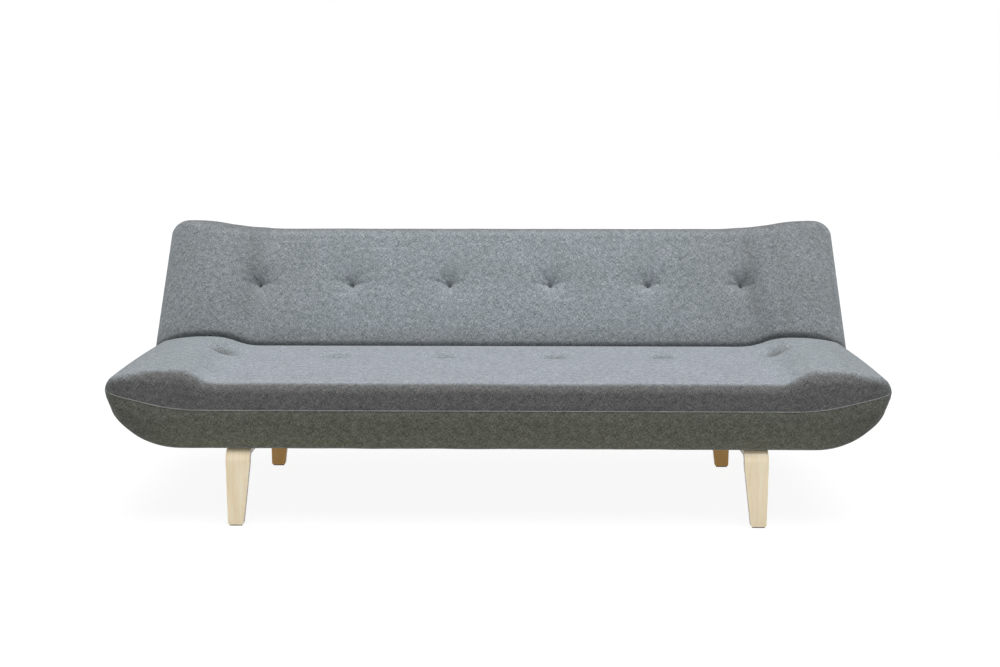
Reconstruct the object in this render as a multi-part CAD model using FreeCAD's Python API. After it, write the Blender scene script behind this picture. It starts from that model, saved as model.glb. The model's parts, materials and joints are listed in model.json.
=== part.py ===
import FreeCAD, Part
import math
import os

# Click clack sofa bed, in millimetres: +X to the sitter's left as seen from the front (picture right),
# +Y to the back, +Z up. The origin is on the floor, at the middle of the object's box.
# The backrest is drawn laid flat and turned up to its sitting angle at the end.

# Places along Y that the rest hangs on
FRONT_Y = -410.3                 # outer face of the front legs
LEG_SPAN = 575.0                 # outer face of front legs to outer face of rear legs
PIVOT_Y = FRONT_Y + 570.0        # line that the backrest turns about
PIVOT_Z = 335.0
SITTING_TURN = 65.0              # degrees from laid flat to sitting upright

# Both pads
PAD_TOP = 372.0                  # top of the middle stretch, at its front and back edges
HINGE_GAP = 5.0                  # each pad's end face to the pivot line
CROWN = 6.0                      # rise of the top between those edges
WING_RISE = 31.0                 # how far the upturned ends stand above the middle
WING_FOOT_X = 705.0              # where the rise starts
WING_RUN = 130.0                 # its length
MIDDLE_HALF = 700.0              # the straight stretch of a pad reaches this far each way
MITRE_ANGLE = 37.2               # the facing edges are cut back this far from upright
MITRE_GAP = 1.5                  # from the pivot line to each cut
FABRIC = 3.0                     # cover with its wadding
ROUNDING_SHARE = 0.67            # edge rounding, as a share of the height above the seam
TUCK_SHARE = 0.2                 # how far the panel below the seam draws in, per its height
BELLY_SHARE = 0.04               # how far that panel bulges, per its height

# Seat pad
LEG_HEIGHT = 200.0
SEAT_BOTTOM = LEG_HEIGHT
SEAT_HALF = 985.0
SEAT_FRONT = -12.0               # seam line, measured from FRONT_Y
SEAT_SEAM = 305.0
SEAT_SEAM_TIP = 350.0
SEAT_SEAM_START = 755.0
SEAT_HULL_START = 805.0          # the underside curves up from here
SEAT_HULL_TIP = 335.0
SEAT_CREST = 850.0               # the wing falls towards its tip from here
SEAT_TIP_TOP = 380.0
SEAT_STATIONS = (725, 750, 780, 805, 835, 865, 895, 925, 950, 970)
SEAT_TUFTS = (158.0, 457.0, 776.0)
SEAT_TUFT_FROM_FRONT = 375.0
PIPING_RADIUS = 2.6

# Backrest pad, laid flat; lengths are from the pivot line
BACK_BOTTOM = 232.0
BACK_HALF = 1010.0
BACK_LENGTH = 400.0
BACK_WING_EXTRA = 15.0           # the ends are this much longer
BACK_WING_START = 740.0
BACK_WING_BLEND = 100.0
BACK_CORNER_START = 940.0        # the outer corners round off from here
BACK_CORNER_DROP = 50.0
BACK_SEAM = 306.0
BACK_SEAM_TIP = 352.0
BACK_SEAM_START = 800.0
BACK_HULL_START = 850.0
BACK_HULL_TIP = 340.0
BACK_CREST = 865.0
BACK_TIP_TOP = 362.0
BACK_STATIONS = (725, 750, 780, 805, 835, 865, 900, 930, 960, 990)
BACK_TUFTS = (151.0, 443.0, 720.0)
BACK_TUFT_FROM_PIVOT = 211.0

# Tufts and the twine that pulls them in
TUFT_RADIUS = 34.0
TUFT_DEPTH = 17.0
TUFT_LIP = 1.0                   # the dimple's curve ends this far below the pad's surface
TUFT_SKIRT = 12.0                # and goes on at 45 degrees for this far, where the pad is not level
SEAM_OFFSET = 2.0                # covers are joined this far below the line where a pad's edge stands out most
TWINE_RADIUS = 1.5

# Timber frames
BOARD = 22.0                     # board thickness
SEAT_BOARD_TOP = 293.0
SEAT_BOARD_BASE = SEAT_BOTTOM + FABRIC + 0.1   # just clear of the cover under the frame
SEAT_RAIL_IN = 16.0              # front rail behind FRONT_Y
SEAT_REAR_RAIL = 8.0             # rear rail ahead of the pivot line
SEAT_END_INNER = 780.0           # inner face of the end rails
CROSS_RAIL_X = 245.0
SEAT_CROSS_TOP = 285.0
SUSPENSION_TOP = 304.0           # top of the felt, underside of the foam
BACK_BOARD_BASE = 238.0
BACK_BOARD_TOP = 298.0
BACK_RAIL_IN = 8.0               # hinge-side rail behind the pivot line
BACK_TOP_RAIL = 367.0            # far face of the top rail
BACK_END_OUTER = 765.0           # outer face of the backrest's end rails

# Suspension
SPRING_X = (117.0, 351.0, 585.0)
SPRING_WIRE = 1.9
SPRING_WAVE = 20.0               # half width of the zigzag
SPRING_PITCH = 20.0              # distance between its straight crossings
STRAP_X = (95.0, 285.0, 475.0, 665.0)
STRAP_WIDTH = 50.0
STRAP_THICKNESS = 1.6

# Legs of bent plywood
PLY = 15.0
BEND = 30.0                      # outer radius of the bend
LEG_OUTER_X = 686.0
LEG_TOP_WIDTH = 61.0
LEG_FOOT_WIDTH = 39.5
LEG_SHOULDER = 165.0             # the inner edge slopes from here to the foot
FLANGE_END = 125.0
FLANGE_ROUND = 14.0
GLIDE = 3.0
BOLT_FROM_FACE = (62.0, 100.0)
BOLT_X = LEG_OUTER_X - LEG_TOP_WIDTH / 2
BOLT_RADIUS = 4.0
BOLT_CLEARANCE = 0.2
LEG_BOARD = 18.0
LEG_BOARD_INNER = 590.0
LEG_BOARD_DEPTH = 120.0

# Click clack mechanism; X places are for the right-hand one
PLATE = 4.0
BACK_ARM_X = 765.0
RATCHET_X = 770.0
SEAT_ARM_X = 776.0
EYE_RADIUS = 18.0
PIVOT_RADIUS = 6.0
RUNNING_FIT = 0.05
RATCHET_RADIUS = 26.0
NOTCH_FLOOR = 22.5
NOTCH_WIDTH = 9.0
NOSE_ANGLE = 25.0                # the pawl's nose, from the laid-flat direction
NOTCH_TURNS = (0.0, 40.0, 65.0, 70.0, 75.0, 78.0)   # backrest turns with a notch at the nose
NOSE_CLEARANCE = 0.3
NOSE_WIDTH = 4.0
PAWL_PIN_REACH = 46.0
PAWL_PIN_ANGLE = -10.0
PAWL_PIN_RADIUS = 3.0
PAWL_HUB = 7.0
PAWL_SIDE_PLAY = 0.4
POCKET = (757.0, 789.0)          # room for a mechanism in both pads
POCKET_REACH = 62.0
POCKET_TOP = 362.0
ARM_POCKET_REACH = 165.0
SCREW_RADIUS = 3.0
SCREW_FROM_PIVOT = (65.0, 97.0, 130.0)
SCREW_Z = 262.0

# Fold-down support legs, laid flat and folded
SUPPORT_X = 560.0
SUPPORT_FROM_PIVOT = 335.0
SUPPORT_PIN_Z = 214.0
SUPPORT_TUBE = 12.5
SUPPORT_WALL = 1.5
SUPPORT_FOOT = 12.0              # height of the rubber foot
SUPPORT_LENGTH = 213.0
SUPPORT_END = 8.0                # tube beyond its pin
SUPPORT_PIN = 4.0
EAR_INNER = 14.0
EAR = 2.5
BRACKET_PLATE = 2.5


def ogee(run, rise, length):
    """Height of an S of two equal arcs that starts level at 0 and ends level at length."""
    if run <= 0:
        return 0.0
    if run >= length:
        return rise
    radius = ((length / 2) ** 2 + (rise / 2) ** 2) / rise
    if run < length / 2:
        return radius - math.sqrt(radius ** 2 - run ** 2)
    return rise - radius + math.sqrt(radius ** 2 - (length - run) ** 2)


def falling_arc(run, drop, length):
    """Drop of an arc that starts level at 0 and has dropped this far at length."""
    if run <= 0:
        return 0.0
    radius = (length ** 2 + drop ** 2) / (2 * drop)
    return radius - math.sqrt(max(radius ** 2 - run ** 2, 0.0))


def wing_top(x, crest, half, tip):
    if x <= crest:
        return PAD_TOP + ogee(x - WING_FOOT_X, WING_RISE, WING_RUN)
    high = PAD_TOP + WING_RISE
    return high - falling_arc(x - crest, high - tip, half - crest)


def seat_levels(x):
    """Length from the pivot line, underside, seam and top of the seat pad at x."""
    hull = falling_arc(x - SEAT_HULL_START, SEAT_HULL_TIP - SEAT_BOTTOM, SEAT_HALF - SEAT_HULL_START)
    seam = seat_seam(x)
    top = wing_top(x, SEAT_CREST, SEAT_HALF, SEAT_TIP_TOP)
    return PIVOT_Y - FRONT_Y - SEAT_FRONT, SEAT_BOTTOM + hull, seam, top


def seat_seam(x):
    return SEAT_SEAM + ogee(x - SEAT_SEAM_START, SEAT_SEAM_TIP - SEAT_SEAM, SEAT_HALF - SEAT_SEAM_START)


def back_levels(x):
    """Length from the pivot line, rear face, seam and front face of the backrest pad at x."""
    length = BACK_LENGTH + ogee(x - BACK_WING_START, BACK_WING_EXTRA, BACK_WING_BLEND)
    length -= falling_arc(x - BACK_CORNER_START, BACK_CORNER_DROP, BACK_HALF - BACK_CORNER_START)
    hull = falling_arc(x - BACK_HULL_START, BACK_HULL_TIP - BACK_BOTTOM, BACK_HALF - BACK_HULL_START)
    seam = BACK_SEAM + ogee(x - BACK_SEAM_START, BACK_SEAM_TIP - BACK_SEAM, BACK_HALF - BACK_SEAM_START)
    return length, BACK_BOTTOM + hull, seam, wing_top(x, BACK_CREST, BACK_HALF, BACK_TIP_TOP)


def pad_section(x, levels, side, inset):
    """Closed outline of a pad across its length at x; side is -1 for the seat, +1 for the backrest."""
    length, bottom, seam, top = levels(x)
    free = length - inset
    hinge = HINGE_GAP + inset
    bottom += inset
    top -= inset
    rounding = ROUNDING_SHARE * (top - seam)
    tuck = TUCK_SHARE * (seam - bottom)
    belly = BELLY_SHARE * (seam - bottom)
    diagonal = math.sqrt(0.5)

    def at(reach, z):
        return FreeCAD.Vector(x, PIVOT_Y + side * reach, z)

    edge_back = free - rounding
    lower = Part.Arc(at(free - tuck, bottom),
                     at(free - tuck / 2 + belly, (bottom + seam) / 2),
                     at(free, seam))
    corner = Part.Arc(at(free, top - rounding),
                      at(edge_back + rounding * diagonal, top - rounding + rounding * diagonal),
                      at(edge_back, top))
    crown = Part.Arc(at(edge_back, top), at((edge_back + hinge) / 2, top + CROWN), at(hinge, top))
    upright = Part.LineSegment(at(free, seam), at(free, top - rounding))
    end = Part.LineSegment(at(hinge, top), at(hinge, bottom))
    base = Part.LineSegment(at(hinge, bottom), at(free - tuck, bottom))
    return Part.Wire([curve.toShape() for curve in (base, lower, upright, corner, crown, end)])


def mitre_cut(side, inset):
    """Everything past the sloping cut that lets the two pads fold towards each other."""
    slope = math.tan(math.radians(MITRE_ANGLE))
    offset = (MITRE_GAP + inset) / math.cos(math.radians(MITRE_ANGLE))
    low = -60.0
    high = 150.0
    corners = [(offset + low * slope, low), (offset + high * slope, high), (-200.0, high), (-200.0, low)]
    points = [FreeCAD.Vector(-BACK_HALF - 50, PIVOT_Y + side * y, PIVOT_Z + z) for y, z in corners]
    face = Part.Face(Part.makePolygon(points + points[:1]))
    return face.extrude(FreeCAD.Vector(2 * BACK_HALF + 100, 0, 0))


def tuft_cutter(x, y, surface, slope):
    """Flared dimple square to the pad, wide at the surface and narrow at the stitch."""
    stitch = TWINE_RADIUS + 1.0
    run = TUFT_RADIUS - stitch
    start = FreeCAD.Vector(stitch, 0, -TUFT_DEPTH)
    middle = FreeCAD.Vector(stitch + run * 0.36, 0, -TUFT_DEPTH * 0.32)
    rim = FreeCAD.Vector(TUFT_RADIUS, 0, -TUFT_LIP)
    skirt = FreeCAD.Vector(TUFT_RADIUS + TUFT_SKIRT, 0, TUFT_SKIRT - TUFT_LIP)
    bottom = FreeCAD.Vector(0, 0, -TUFT_DEPTH)
    outline = [Part.LineSegment(bottom, start), Part.Arc(start, middle, rim),
               Part.LineSegment(rim, skirt), Part.LineSegment(skirt, FreeCAD.Vector(0, 0, skirt.z)),
               Part.LineSegment(FreeCAD.Vector(0, 0, skirt.z), bottom)]
    face = Part.Face(Part.Wire([curve.toShape() for curve in outline]))
    solid = face.revolve(FreeCAD.Vector(0, 0, 0), FreeCAD.Vector(0, 0, 1), 360)
    solid.rotate(FreeCAD.Vector(0, 0, 0), FreeCAD.Vector(0, 1, 0), -slope)
    solid.translate(FreeCAD.Vector(x, y, surface))
    return solid.toNurbs().Solids[0]


def tuft_places(columns, reach, side, levels):
    """Centre, surface height and sideways slope in degrees of each tuft of a pad."""
    places = []
    step = TUFT_RADIUS / 2
    for x in columns:
        top = levels(x)[3]
        slope = math.degrees(math.atan2(levels(x + step)[3] - levels(x - step)[3], 2 * step))
        places.append((x, PIVOT_Y + side * reach, top + CROWN * 0.9, slope))
        places.append((-x, PIVOT_Y + side * reach, top + CROWN * 0.9, -slope))
    return places


def pad_solid(levels, half, stations, side, inset, tufts):
    """A pad without its hinge pockets: straight middle, two wings, mitre and tufts."""
    middle_wires = [pad_section(x, levels, side, inset) for x in (-MIDDLE_HALF, MIDDLE_HALF)]
    middle = Part.makeLoft(middle_wires, True, True)
    places = (MIDDLE_HALF,) + stations + (half - inset,)
    wing = Part.makeLoft([pad_section(x, levels, side, inset) for x in places], True, False)
    other = wing.mirror(FreeCAD.Vector(0, 0, 0), FreeCAD.Vector(1, 0, 0))
    pad = middle.fuse([wing, other]).removeSplitter()
    pad = pad.cut(mitre_cut(side, inset))
    cutters = [tuft_cutter(x, y, surface - inset, slope) for x, y, surface, slope in tufts]
    pad = pad.cut(cutters)
    return pad.Solids[0]


def box(x0, x1, y0, y1, z0, z1):
    return Part.makeBox(x1 - x0, y1 - y0, z1 - z0, FreeCAD.Vector(x0, y0, z0))


def rod(radius, start, end):
    a = FreeCAD.Vector(*start)
    b = FreeCAD.Vector(*end)
    return Part.makeCylinder(radius, (b - a).Length, a, b - a)


def prism_x(points, x0, x1):
    """A flat plate across X from (y, z) corners."""
    corners = [FreeCAD.Vector(x0, y, z) for y, z in points]
    return Part.Face(Part.makePolygon(corners + corners[:1])).extrude(FreeCAD.Vector(x1 - x0, 0, 0))


def mirrored(shape):
    return shape.mirror(FreeCAD.Vector(0, 0, 0), FreeCAD.Vector(1, 0, 0))


def both_sides(shapes):
    return list(shapes) + [mirrored(shape) for shape in shapes]


def under_seam(start, half, low, tip):
    """Everything under a seam line, to split a cover into its upper and lower parts."""
    low -= SEAM_OFFSET
    tip -= SEAM_OFFSET
    middle = (start + half) / 2
    run = (half - start) / 4
    quarter = ogee(run, tip - low, half - start)
    wide = half + 40
    points = [(wide, 0), (wide, tip), (half, tip), (half - run, tip - quarter), (middle, (low + tip) / 2),
              (start + run, low + quarter), (start, low)]
    y = PIVOT_Y - 700
    right = [FreeCAD.Vector(x, y, z) for x, z in points]
    left = [FreeCAD.Vector(-x, y, z) for x, z in points]
    curves = [Part.LineSegment(left[0], right[0]), Part.LineSegment(right[0], right[1]),
              Part.LineSegment(right[1], right[2]), Part.Arc(right[2], right[3], right[4]),
              Part.Arc(right[4], right[5], right[6]), Part.LineSegment(right[6], left[6]),
              Part.Arc(left[6], left[5], left[4]), Part.Arc(left[4], left[3], left[2]),
              Part.LineSegment(left[2], left[1]), Part.LineSegment(left[1], left[0])]
    face = Part.Face(Part.Wire([curve.toShape() for curve in curves]))
    return face.extrude(FreeCAD.Vector(0, 1400, 0))


def hinge_pockets(side):
    """Room round both mechanisms: the swinging middle and the slot along the arm."""
    near = PIVOT_Y - side * 10
    far = PIVOT_Y + side * POCKET_REACH
    slot_near = PIVOT_Y + side * (HINGE_GAP + FABRIC)
    slot_far = PIVOT_Y + side * ARM_POCKET_REACH
    slot_end = BACK_ARM_X + PLATE + 4.0 if side > 0 else SEAT_END_INNER
    slot_base = BACK_BOARD_BASE - 1.0
    pockets = [box(POCKET[0], POCKET[1], min(near, far), max(near, far), 290, POCKET_TOP),
               box(POCKET[0], slot_end, min(slot_near, slot_far), max(slot_near, slot_far), slot_base, 300)]
    return both_sides(pockets)


def seat_frame(screws):
    """Rails of the seat's timber box."""
    front = FRONT_Y + SEAT_RAIL_IN
    rear = PIVOT_Y - SEAT_REAR_RAIL
    outer = SEAT_END_INNER + BOARD
    front_rail = box(-outer, outer, front, front + BOARD, SEAT_BOARD_BASE, SEAT_BOARD_TOP)
    rear_rail = box(-outer, outer, rear - BOARD, rear, SEAT_BOARD_BASE, SEAT_BOARD_TOP)
    rear_rail = rear_rail.cut(hinge_pockets(-1))
    end_right = box(SEAT_END_INNER, outer, front + BOARD, rear - BOARD, SEAT_BOARD_BASE, SEAT_BOARD_TOP)
    end_right = end_right.cut(screws)
    end_left = mirrored(end_right)
    half = BOARD / 2
    cross = box(CROSS_RAIL_X - half, CROSS_RAIL_X + half, front + BOARD, rear - BOARD,
                SEAT_BOARD_BASE, SEAT_CROSS_TOP)
    return front_rail, rear_rail, end_left, end_right, both_sides([cross])


def corner_blocks():
    """Glued three-cornered blocks in the front corners of the seat frame."""
    leg = 50.0
    y = FRONT_Y + SEAT_RAIL_IN + BOARD
    base = SEAT_BOARD_BASE + LEG_BOARD
    points = [FreeCAD.Vector(SEAT_END_INNER, y, base),
              FreeCAD.Vector(SEAT_END_INNER - leg, y, base),
              FreeCAD.Vector(SEAT_END_INNER, y + leg, base)]
    block = Part.Face(Part.makePolygon(points + points[:1]))
    return both_sides([block.extrude(FreeCAD.Vector(0, 0, SEAT_CROSS_TOP - base))])


def zigzag_spring(x):
    """Flat spring of straight crossings joined by half circles, front rail to rear rail."""
    radius = SPRING_PITCH / 2
    start = FRONT_Y + SEAT_RAIL_IN + 11
    stop = PIVOT_Y - SEAT_REAR_RAIL - 11
    z = SEAT_BOARD_TOP + SPRING_WIRE + 0.6
    count = int((stop - start) / SPRING_PITCH)
    start += ((stop - start) - count * SPRING_PITCH) / 2
    reach = SPRING_WAVE - radius
    edges = []
    for index in range(count + 1):
        y = start + index * SPRING_PITCH
        sign = 1 if index % 2 == 0 else -1
        a = FreeCAD.Vector(x - sign * reach, y, z)
        b = FreeCAD.Vector(x + sign * reach, y, z)
        edges.append(Part.LineSegment(a, b).toShape())
        if index < count:
            middle = FreeCAD.Vector(x + sign * (reach + radius), y + radius, z)
            edges.append(Part.Arc(b, middle, b + FreeCAD.Vector(0, SPRING_PITCH, 0)).toShape())
    path = Part.Wire(edges)
    circle = Part.makeCircle(SPRING_WIRE, path.Vertexes[0].Point, FreeCAD.Vector(1, 0, 0))
    return path.makePipeShell([Part.Wire(circle)], True, False)


def spring_clips(springs):
    """Folded clips that hold the first and last crossing of each spring on the rails."""
    clips = []
    top = SUSPENSION_TOP - 5.0
    for x in SPRING_X:
        for y in (FRONT_Y + SEAT_RAIL_IN + 11, PIVOT_Y - SEAT_REAR_RAIL - 11):
            clips.append(box(x - 7, x + 7, y - 9, y + 9, SEAT_BOARD_TOP, top))
    return [clip.cut(springs) for clip in both_sides(clips)]


def leg(front):
    """One right-hand leg: blade, bend and flange, cut to its tapered front view."""
    face_y = FRONT_Y if front else FRONT_Y + LEG_SPAN
    side = 1 if front else -1
    inner_bend = BEND - PLY
    diagonal = math.sqrt(0.5)

    def at(reach, z):
        return FreeCAD.Vector(LEG_OUTER_X - LEG_TOP_WIDTH, face_y + side * reach, z)

    top = LEG_HEIGHT
    outline = [Part.LineSegment(at(0, GLIDE), at(0, top - BEND)),
               Part.Arc(at(0, top - BEND), at(BEND * (1 - diagonal), top - BEND * (1 - diagonal)),
                        at(BEND, top)),
               Part.LineSegment(at(BEND, top), at(FLANGE_END, top)),
               Part.LineSegment(at(FLANGE_END, top), at(FLANGE_END, top - PLY)),
               Part.LineSegment(at(FLANGE_END, top - PLY), at(BEND, top - PLY)),
               Part.Arc(at(BEND, top - PLY),
                        at(BEND - inner_bend * diagonal, top - BEND + inner_bend * diagonal),
                        at(PLY, top - BEND)),
               Part.LineSegment(at(PLY, top - BEND), at(PLY, GLIDE)),
               Part.LineSegment(at(PLY, GLIDE), at(0, GLIDE))]
    blank = Part.Face(Part.Wire([curve.toShape() for curve in outline]))
    blank = blank.extrude(FreeCAD.Vector(LEG_TOP_WIDTH, 0, 0))
    y0 = min(face_y, face_y + side * FLANGE_END) - 1
    corners = [(LEG_OUTER_X, GLIDE), (LEG_OUTER_X, top), (LEG_OUTER_X - LEG_TOP_WIDTH, top),
               (LEG_OUTER_X - LEG_TOP_WIDTH, LEG_SHOULDER), (LEG_OUTER_X - LEG_FOOT_WIDTH, GLIDE)]
    points = [FreeCAD.Vector(x, y0, z) for x, z in corners]
    view = Part.Face(Part.makePolygon(points + points[:1])).extrude(FreeCAD.Vector(0, FLANGE_END + 2, 0))
    foot_edges = [edge for edge in view.Edges
                  if abs(edge.BoundBox.ZMax - GLIDE) < 0.01 and edge.BoundBox.YLength > FLANGE_END]
    view = view.makeFillet(5.0, foot_edges)
    shape = blank.common(view)
    flange_edges = [edge for edge in shape.Edges
                    if abs(edge.BoundBox.YMin - (face_y + side * FLANGE_END)) < 0.01
                    and abs(edge.BoundBox.ZLength - PLY) < 0.01 and edge.BoundBox.XLength < 0.01]
    shape = shape.makeFillet(FLANGE_ROUND, flange_edges)
    holes = [rod(BOLT_RADIUS + BOLT_CLEARANCE, (BOLT_X, y, 100), (BOLT_X, y, 210))
             for y in bolt_rows(front)]
    return shape.cut(holes)


def bolt_rows(front):
    if front:
        return [FRONT_Y + reach for reach in BOLT_FROM_FACE]
    return [FRONT_Y + LEG_SPAN - reach for reach in BOLT_FROM_FACE]


def leg_fixings():
    """Bolts, washers, tee nuts and the boards they pull up against."""
    bolts = []
    washers = []
    nuts = []
    under = LEG_HEIGHT - PLY
    board_top = SEAT_BOARD_BASE + LEG_BOARD
    hole = BOLT_RADIUS + BOLT_CLEARANCE
    barrel = 5.4
    for y in bolt_rows(True) + bolt_rows(False):
        shank = rod(BOLT_RADIUS, (BOLT_X, y, under - 1.6), (BOLT_X, y, board_top + 4))
        head = rod(7.0, (BOLT_X, y, under - 6.0), (BOLT_X, y, under - 1.6))
        bolts.append(shank.fuse(head).removeSplitter())
        washer = rod(9.0, (BOLT_X, y, under - 1.6), (BOLT_X, y, under))
        washers.append(washer.cut(rod(hole, (BOLT_X, y, under - 3), (BOLT_X, y, under + 1))))
        nut = rod(barrel, (BOLT_X, y, board_top - 10), (BOLT_X, y, board_top))
        nut = nut.fuse(rod(10.0, (BOLT_X, y, board_top), (BOLT_X, y, board_top + 1.6))).removeSplitter()
        nuts.append(nut.cut(rod(hole, (BOLT_X, y, board_top - 12), (BOLT_X, y, board_top + 3))))
    front = FRONT_Y + SEAT_RAIL_IN + BOARD
    rear = PIVOT_Y - SEAT_REAR_RAIL - BOARD
    boards = []
    for y0 in (front, rear - LEG_BOARD_DEPTH):
        board = box(LEG_BOARD_INNER, SEAT_END_INNER, y0, y0 + LEG_BOARD_DEPTH, SEAT_BOARD_BASE, board_top)
        rows = [y for y in bolt_rows(True) + bolt_rows(False) if y0 < y < y0 + LEG_BOARD_DEPTH]
        for y in rows:
            board = board.cut([rod(hole, (BOLT_X, y, 190), (BOLT_X, y, 230)),
                               rod(barrel, (BOLT_X, y, board_top - 10), (BOLT_X, y, board_top + 1))])
        boards.append(board)
    return both_sides(bolts), both_sides(washers), both_sides(nuts), both_sides(boards)


def leg_glides():
    """Felt glide under each leg, as wide as the foot."""
    margin = 4.0
    glides = []
    for y in (FRONT_Y, FRONT_Y + LEG_SPAN - PLY):
        glides.append(box(LEG_OUTER_X - LEG_FOOT_WIDTH + margin, LEG_OUTER_X - margin,
                          y + 1.5, y + PLY - 1.5, 0, GLIDE))
    return both_sides(glides)


def seat_arm(screws):
    """Plate that carries the pivot, screwed to the inner face of the seat's end rail."""
    x0 = SEAT_ARM_X
    x1 = SEAT_ARM_X + PLATE
    corners = [(-150, SCREW_Z - 24), (-150, SCREW_Z + 22), (-62, SCREW_Z + 26), (-14, PIVOT_Z + 11),
               (10, PIVOT_Z - 14.9), (-40, SCREW_Z - 24)]
    plate = prism_x([(PIVOT_Y + y, z) for y, z in corners], x0, x1)
    eye = rod(EYE_RADIUS, (x0, PIVOT_Y, PIVOT_Z), (x1, PIVOT_Y, PIVOT_Z))
    hole = rod(PIVOT_RADIUS, (x0 - 1, PIVOT_Y, PIVOT_Z), (x1 + 1, PIVOT_Y, PIVOT_Z))
    return plate.fuse(eye).removeSplitter().cut([hole] + screws)


def back_arm(screws):
    """Plate that turns on the pivot, screwed to the outer face of the backrest's end rail."""
    x0 = BACK_ARM_X
    x1 = BACK_ARM_X + PLATE
    corners = [(150, SCREW_Z - 22), (150, SCREW_Z + 24), (62, SCREW_Z + 30), (52, PIVOT_Z + 2),
               (14, PIVOT_Z + 11), (-10, PIVOT_Z - 14.9), (40, SCREW_Z - 22)]
    plate = prism_x([(PIVOT_Y + y, z) for y, z in corners], x0, x1)
    eye = rod(EYE_RADIUS, (x0, PIVOT_Y, PIVOT_Z), (x1, PIVOT_Y, PIVOT_Z))
    hole = rod(PIVOT_RADIUS + RUNNING_FIT, (x0 - 1, PIVOT_Y, PIVOT_Z), (x1 + 1, PIVOT_Y, PIVOT_Z))
    y, z = pawl_pin_place()
    pawl_hole = rod(PAWL_PIN_RADIUS, (x0 - 1, y, z), (x1 + 1, y, z))
    return plate.fuse(eye).removeSplitter().cut([hole, pawl_hole] + screws)


def arm_screws(side):
    """Three screws through an arm into its rail, heads on the arm's open side."""
    screws = []
    for reach in SCREW_FROM_PIVOT:
        y = PIVOT_Y + side * reach
        if side < 0:
            face = SEAT_ARM_X
            head = rod(5.5, (face - 3, y, SCREW_Z), (face, y, SCREW_Z))
            shank = rod(SCREW_RADIUS, (face, y, SCREW_Z), (face + 22, y, SCREW_Z))
        else:
            face = BACK_ARM_X + PLATE
            head = rod(5.5, (face, y, SCREW_Z), (face + 3, y, SCREW_Z))
            shank = rod(SCREW_RADIUS, (face - 22, y, SCREW_Z), (face, y, SCREW_Z))
        screws.append(head.fuse(shank).removeSplitter())
    return screws


def ratchet():
    """Toothed disc fixed to the seat arm, with a notch for each resting angle of the backrest."""
    x0 = RATCHET_X
    x1 = SEAT_ARM_X
    disc = rod(RATCHET_RADIUS, (x0, PIVOT_Y, PIVOT_Z), (x1, PIVOT_Y, PIVOT_Z))
    notches = []
    for turn in NOTCH_TURNS:
        notch = box(x0 - 1, x1 + 1, PIVOT_Y + NOTCH_FLOOR, PIVOT_Y + RATCHET_RADIUS + 6,
                    PIVOT_Z - NOTCH_WIDTH / 2, PIVOT_Z + NOTCH_WIDTH / 2)
        notch.rotate(FreeCAD.Vector(0, PIVOT_Y, PIVOT_Z), FreeCAD.Vector(1, 0, 0), NOSE_ANGLE + turn)
        notches.append(notch)
    hole = rod(PIVOT_RADIUS, (x0 - 1, PIVOT_Y, PIVOT_Z), (x1 + 1, PIVOT_Y, PIVOT_Z))
    return disc.cut(notches + [hole])


def pivot_pin():
    """Pin through both arms, headed outside, grooved for its clip inside."""
    shaft = rod(PIVOT_RADIUS, (759.5, PIVOT_Y, PIVOT_Z), (SEAT_ARM_X + PLATE, PIVOT_Y, PIVOT_Z))
    head = rod(10.0, (SEAT_ARM_X + PLATE, PIVOT_Y, PIVOT_Z), (SEAT_ARM_X + PLATE + 4, PIVOT_Y, PIVOT_Z))
    groove = rod(PIVOT_RADIUS + 1, (761.5, PIVOT_Y, PIVOT_Z), (763.1, PIVOT_Y, PIVOT_Z))
    groove = groove.cut(rod(PIVOT_RADIUS - 1, (761, PIVOT_Y, PIVOT_Z), (764, PIVOT_Y, PIVOT_Z)))
    return shaft.fuse(head).removeSplitter().cut(groove)


def pin_clip():
    """Open ring in the pin's groove."""
    ring = rod(9.5, (761.5, PIVOT_Y, PIVOT_Z), (763.1, PIVOT_Y, PIVOT_Z))
    ring = ring.cut(rod(PIVOT_RADIUS - 1, (761, PIVOT_Y, PIVOT_Z), (764, PIVOT_Y, PIVOT_Z)))
    return ring.cut(box(761, 764, PIVOT_Y - 3, PIVOT_Y + 3, PIVOT_Z, PIVOT_Z + 11))


def pawl_pin_place():
    angle = math.radians(PAWL_PIN_ANGLE)
    return PIVOT_Y + PAWL_PIN_REACH * math.cos(angle), PIVOT_Z + PAWL_PIN_REACH * math.sin(angle)


def pawl():
    """Catch that drops into the disc's notches, drawn riding just clear of its rim."""
    x0 = BACK_ARM_X + PLATE + PAWL_SIDE_PLAY
    x1 = SEAT_ARM_X - PAWL_SIDE_PLAY
    pin_y, pin_z = pawl_pin_place()
    angle = math.radians(NOSE_ANGLE)
    out = FreeCAD.Vector(0, math.cos(angle), math.sin(angle))
    across = FreeCAD.Vector(0, -math.sin(angle), math.cos(angle)) * (NOSE_WIDTH / 2)
    pivot = FreeCAD.Vector(x0, PIVOT_Y, PIVOT_Z)
    tip = pivot + out * (RATCHET_RADIUS + NOSE_CLEARANCE)
    shoulder = pivot + out * (RATCHET_RADIUS + 5)
    pin = FreeCAD.Vector(x0, pin_y, pin_z)
    hub_out = FreeCAD.Vector(0, PAWL_HUB - 1, 0)
    corners = [tip - across, tip + across, shoulder + across * 3.0, pin + hub_out * 1.0,
               pin - FreeCAD.Vector(0, PAWL_HUB - 1.5, 0) + FreeCAD.Vector(0, 0, 2),
               shoulder - across * 1.4]
    body = Part.Face(Part.makePolygon(corners + corners[:1])).extrude(FreeCAD.Vector(x1 - x0, 0, 0))
    hub = rod(PAWL_HUB, (x0, pin_y, pin_z), (x1, pin_y, pin_z))
    hole = rod(PAWL_PIN_RADIUS + RUNNING_FIT, (x0 - 1, pin_y, pin_z), (x1 + 1, pin_y, pin_z))
    return body.fuse(hub).removeSplitter().cut(hole)


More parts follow.
